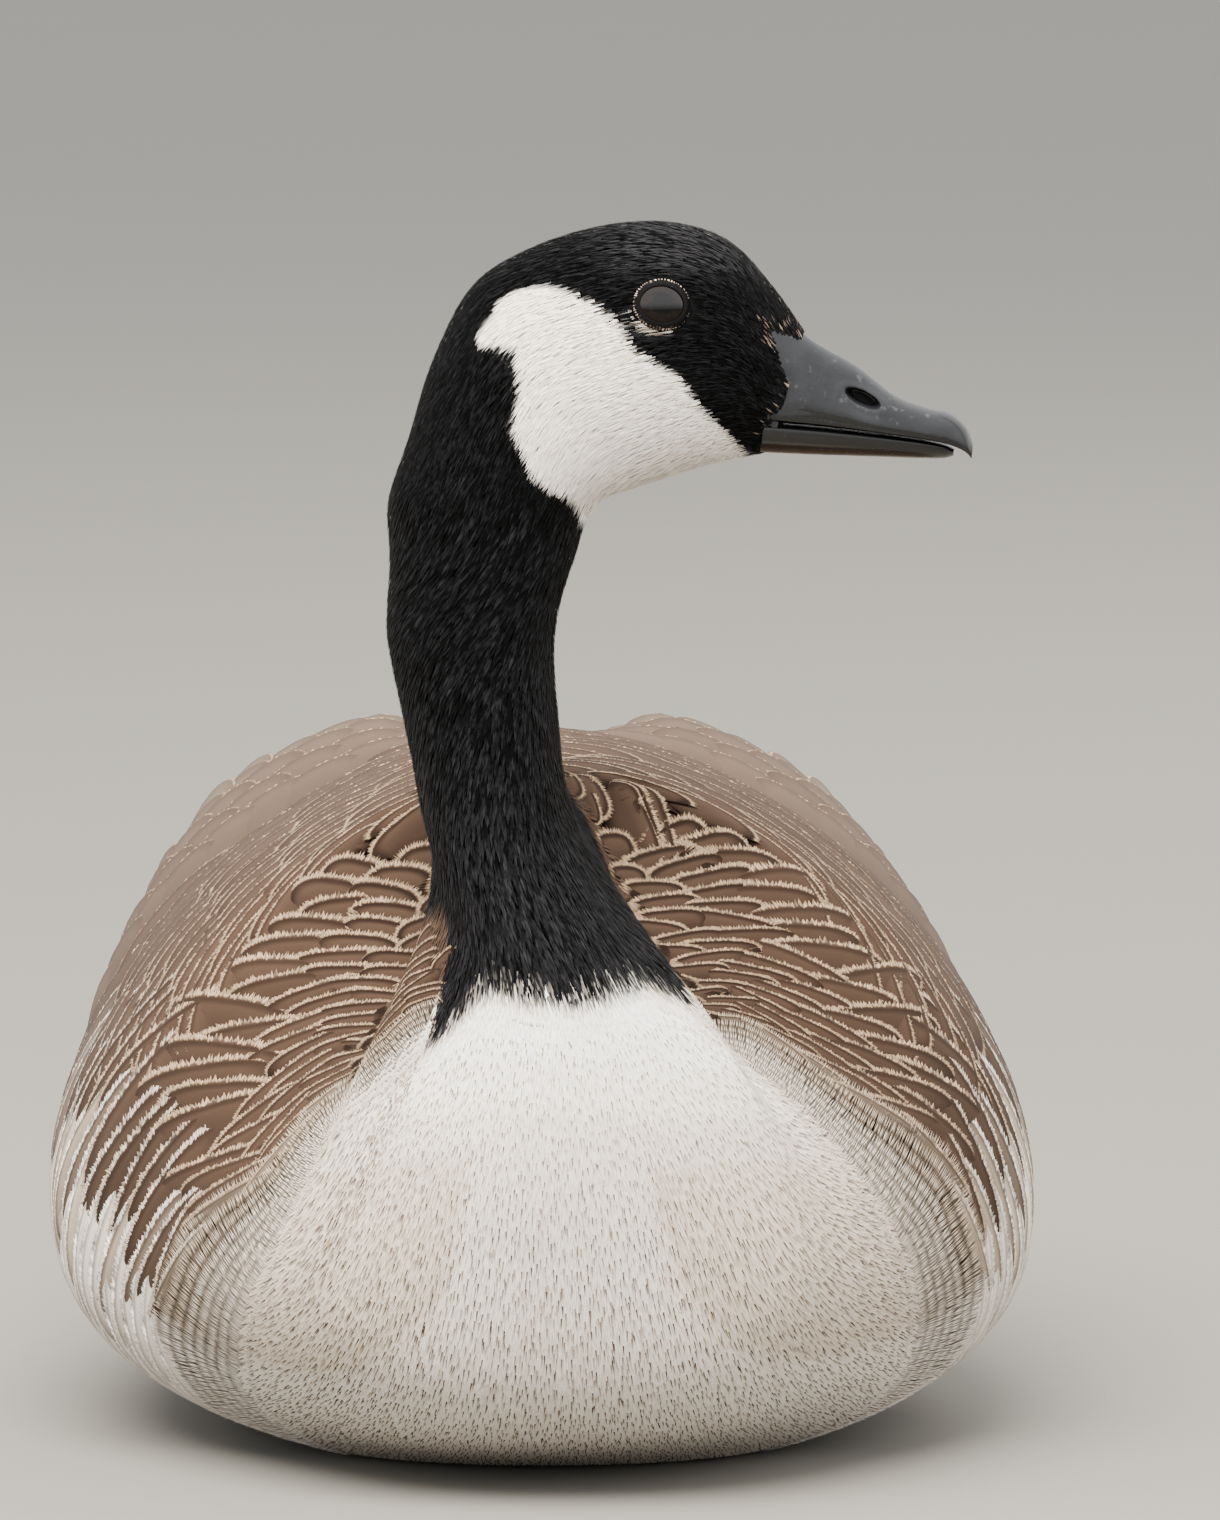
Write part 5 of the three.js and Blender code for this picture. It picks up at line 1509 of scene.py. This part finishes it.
def tierBeds(side, tier, row):
    (firstY, firstTurn), (lastY, lastTurn) = tier["tips"]
    n = tier["count"]
    u = np.linspace(0, 1, n)
    place = placeAt(lerp(firstY, lastY, u) + tier["bulge"] * 4 * u * (1 - u) + draw.normal(0, 1.5, n))
    share = shareAt(place, lerp(firstTurn, lastTurn, u) * side)
    bed = np.stack([place, share, u * 0 + 20, u * 0 + tier["wide"], u * 0, u * 0 + row], -1)
    return np.concatenate([bed, -unit(fromTable(coatSurface["along"], place, share))], -1)


def makeWing(side, name):
    for row, (key, tier) in enumerate(wing.items()):
        beds = tierBeds(side, tier, row)
        n = len(beds)
        shades = shadesOf(n, 0, tier["pale"], 0.1, 0.3, tier["fringe"], 0.7)
        lay = {"long": tier["long"] * (1 + draw.normal(0, 0.02, n)), "wide": tier["wide"],
               "sunk": -3.6 + 0.2 * row, "raised": 0.6 + 0.12 * row, "arch": 0.9, "tilt": -0.5, "thick": 0.3,
               "turn": -0.05 * side * np.linspace(1, -0.4, n), "fray": 1.0,
               "curl": tier["curl"] * np.linspace(0.45, 1.1, n)}
        coatPiece(f"{key}_{name}", longBlade, beds, lay, "wing_feathers", shades, grid=4)
    n = primaries["count"]
    k, mirror = np.arange(n)[:, None], np.array([-side, 1, 1])
    roots = primaries["root"] * mirror + k * np.array([0, 0, 0.4])
    moved = np.array([primaries["outward"], -primaries["shorter"], primaries["above"] + 1.5])
    tips = (primaries["tip"] + k * moved) * mirror
    across = np.tile(mirror * [0.8, 0.1, -0.6], (n, 1))
    points = layStraight(longBlade, roots, tips, across,
                         {"wide": primaries["wide"], "sag": -1.5, "arch": 1.0, "fray": 0.25})
    place = placeAt(tips[:, 1])
    beds = np.stack([place, shareAt(place, np.full(n, 20.0 * side))], -1)
    shades = shadesOf(n, 0.86, 0, 0, 0.2, 0.1, 0.5)
    coatPiece(f"primaries_{name}", longBlade, beds, {}, "wing_feathers", shades, grid=3, points=points)

    def sheet(u, v):  # a closed sheet, its upper face for the first half of v
        upper = v < 0.5
        t = np.where(upper, v * 2, 2 - v * 2)
        place = placeAt(lerp(wingSheet["first"], wingSheet["last"] - wingSheet["rounded"] * u ** 2, t))
        share = shareAt(place, lerp(*wingSheet["degrees"], u) * side)
        thick = wingSheet["thick"] * np.minimum(np.minimum(u, 1 - u) / wingSheet["edge"], 1)
        return pointOn(coatSurface, place, share, -wingSheet["deep"] - np.where(upper, 0, thick))

    mesh = spunMesh(f"wingSheet_{name}", 80, 24, sheet)
    own = len(mesh.vertices)
    piece = finishPiece(f"wingSheet_{name}", mesh, plainSkin, None,
                        {"black": np.full(own, 0.2), "pale": np.zeros(own), "tone": np.zeros(own)})
    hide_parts(f"wing_{name}")


makeWing(1, "right")
makeWing(-1, "left")
print("wings ready")

# ---- tail: a fan, the middle feathers uppermost
tail = {"count": 16, "open": 22, "wide": 17, "root": (0, 262, 104.5), "long": 84}


def makeTail():
    n = tail["count"]
    out = (np.arange(n) - (n - 1) / 2) / ((n - 1) / 2)
    angle = np.radians(out * tail["open"])
    long = tail["long"] * (1 - 0.09 * out ** 2) + draw.normal(0, 0.6, n)
    over = np.where(np.arange(n) % 2, 0.35, -0.35)
    roots = tail["root"] + np.stack([16 * out, 5 + 0 * out, 2.6 - 3.6 * np.abs(out) + over], -1)
    aside, ahead = 1.25 * long * np.sin(angle), long * np.cos(0.7 * angle)
    tips = tail["root"] + np.stack([aside, ahead, 2.4 - 5.6 * np.abs(out) + over], -1)
    across = np.stack([np.ones(n), np.zeros(n), -0.16 * np.sign(out)], -1)
    points = layStraight(longBlade, roots, tips, across, {"wide": tail["wide"], "arch": 0.7, "fray": 0.3})
    beds = np.stack([placeAt(tips[:, 1]), out * 0.3], -1)
    shades = shadesOf(n, 1, 0, 0, 0.3)
    piece = coatPiece("tailFeathers", longBlade, beds, {}, "black_feathers", shades, grid=4, points=points)
    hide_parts("tail")


makeTail()

rump = {  # the vent and the coverts over and under the tail too: where the rows start and end for each share
    "start": ([0, 0.5, 0.62, 1], [150, 150, 215, 215]), "end": ([0, 0.4, 0.7, 1], [288, 292, 292, 296]),
    "exposure": 8.5, "room": 11, "jitter": 0.15,
}


def dressRump():
    q = np.linspace(-1, 1, 241)
    start, end = (placeAt(np.interp(np.abs(q), *rump[key])) for key in ("start", "end"))
    beds = layRows(start, end, steady(rump["exposure"]), steady(rump["room"]), q, rump["jitter"], bareSurface)
    shades = markShades(beds, 0.4, 0.3, 0.4)
    lay = {"long": 32.0, "wide": 22.0, "sunk": -2.2, "raised": 0.6, "turn": draw.normal(0, 0.06, len(beds)),
           "arch": 0.5, "tilt": 0.4, "thick": 0.25, "fray": 1.9}
    coatPair("rumpFeathers", fullBlade[0], beds, lay, "body_feathers", shades, True, bareSurface)


dressRump()
print("tail ready")

# ---- legs and feet keep the frame's shapes
webs = {"dark": (24, 24, 27), "worn": (48, 46, 47)}


def dressLegs():
    leather = Finish("leg leather", Roughness=0.5, **{"Specular IOR Level": 0.4})
    scales = leather.node("ShaderNodeTexVoronoi", {}, {"Vector": leather.place, "Scale": 520.0})["Distance"]
    worn = leather.noise(160, 3)
    leather.feed(baseColor=leather.mix(worn.step(0.4, 0.75), colour(*webs["dark"]), colour(*webs["worn"])),
                 roughness=0.42 + worn * 0.25, normal=leather.bump(scales, 0.5, 0.0006))
    for key in ("leg_left", "leg_right", "foot_left", "foot_right"):
        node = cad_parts[key]
        node.data.materials.clear()
        node.data.materials.append(leather.material)


dressLegs()
print("legs ready")
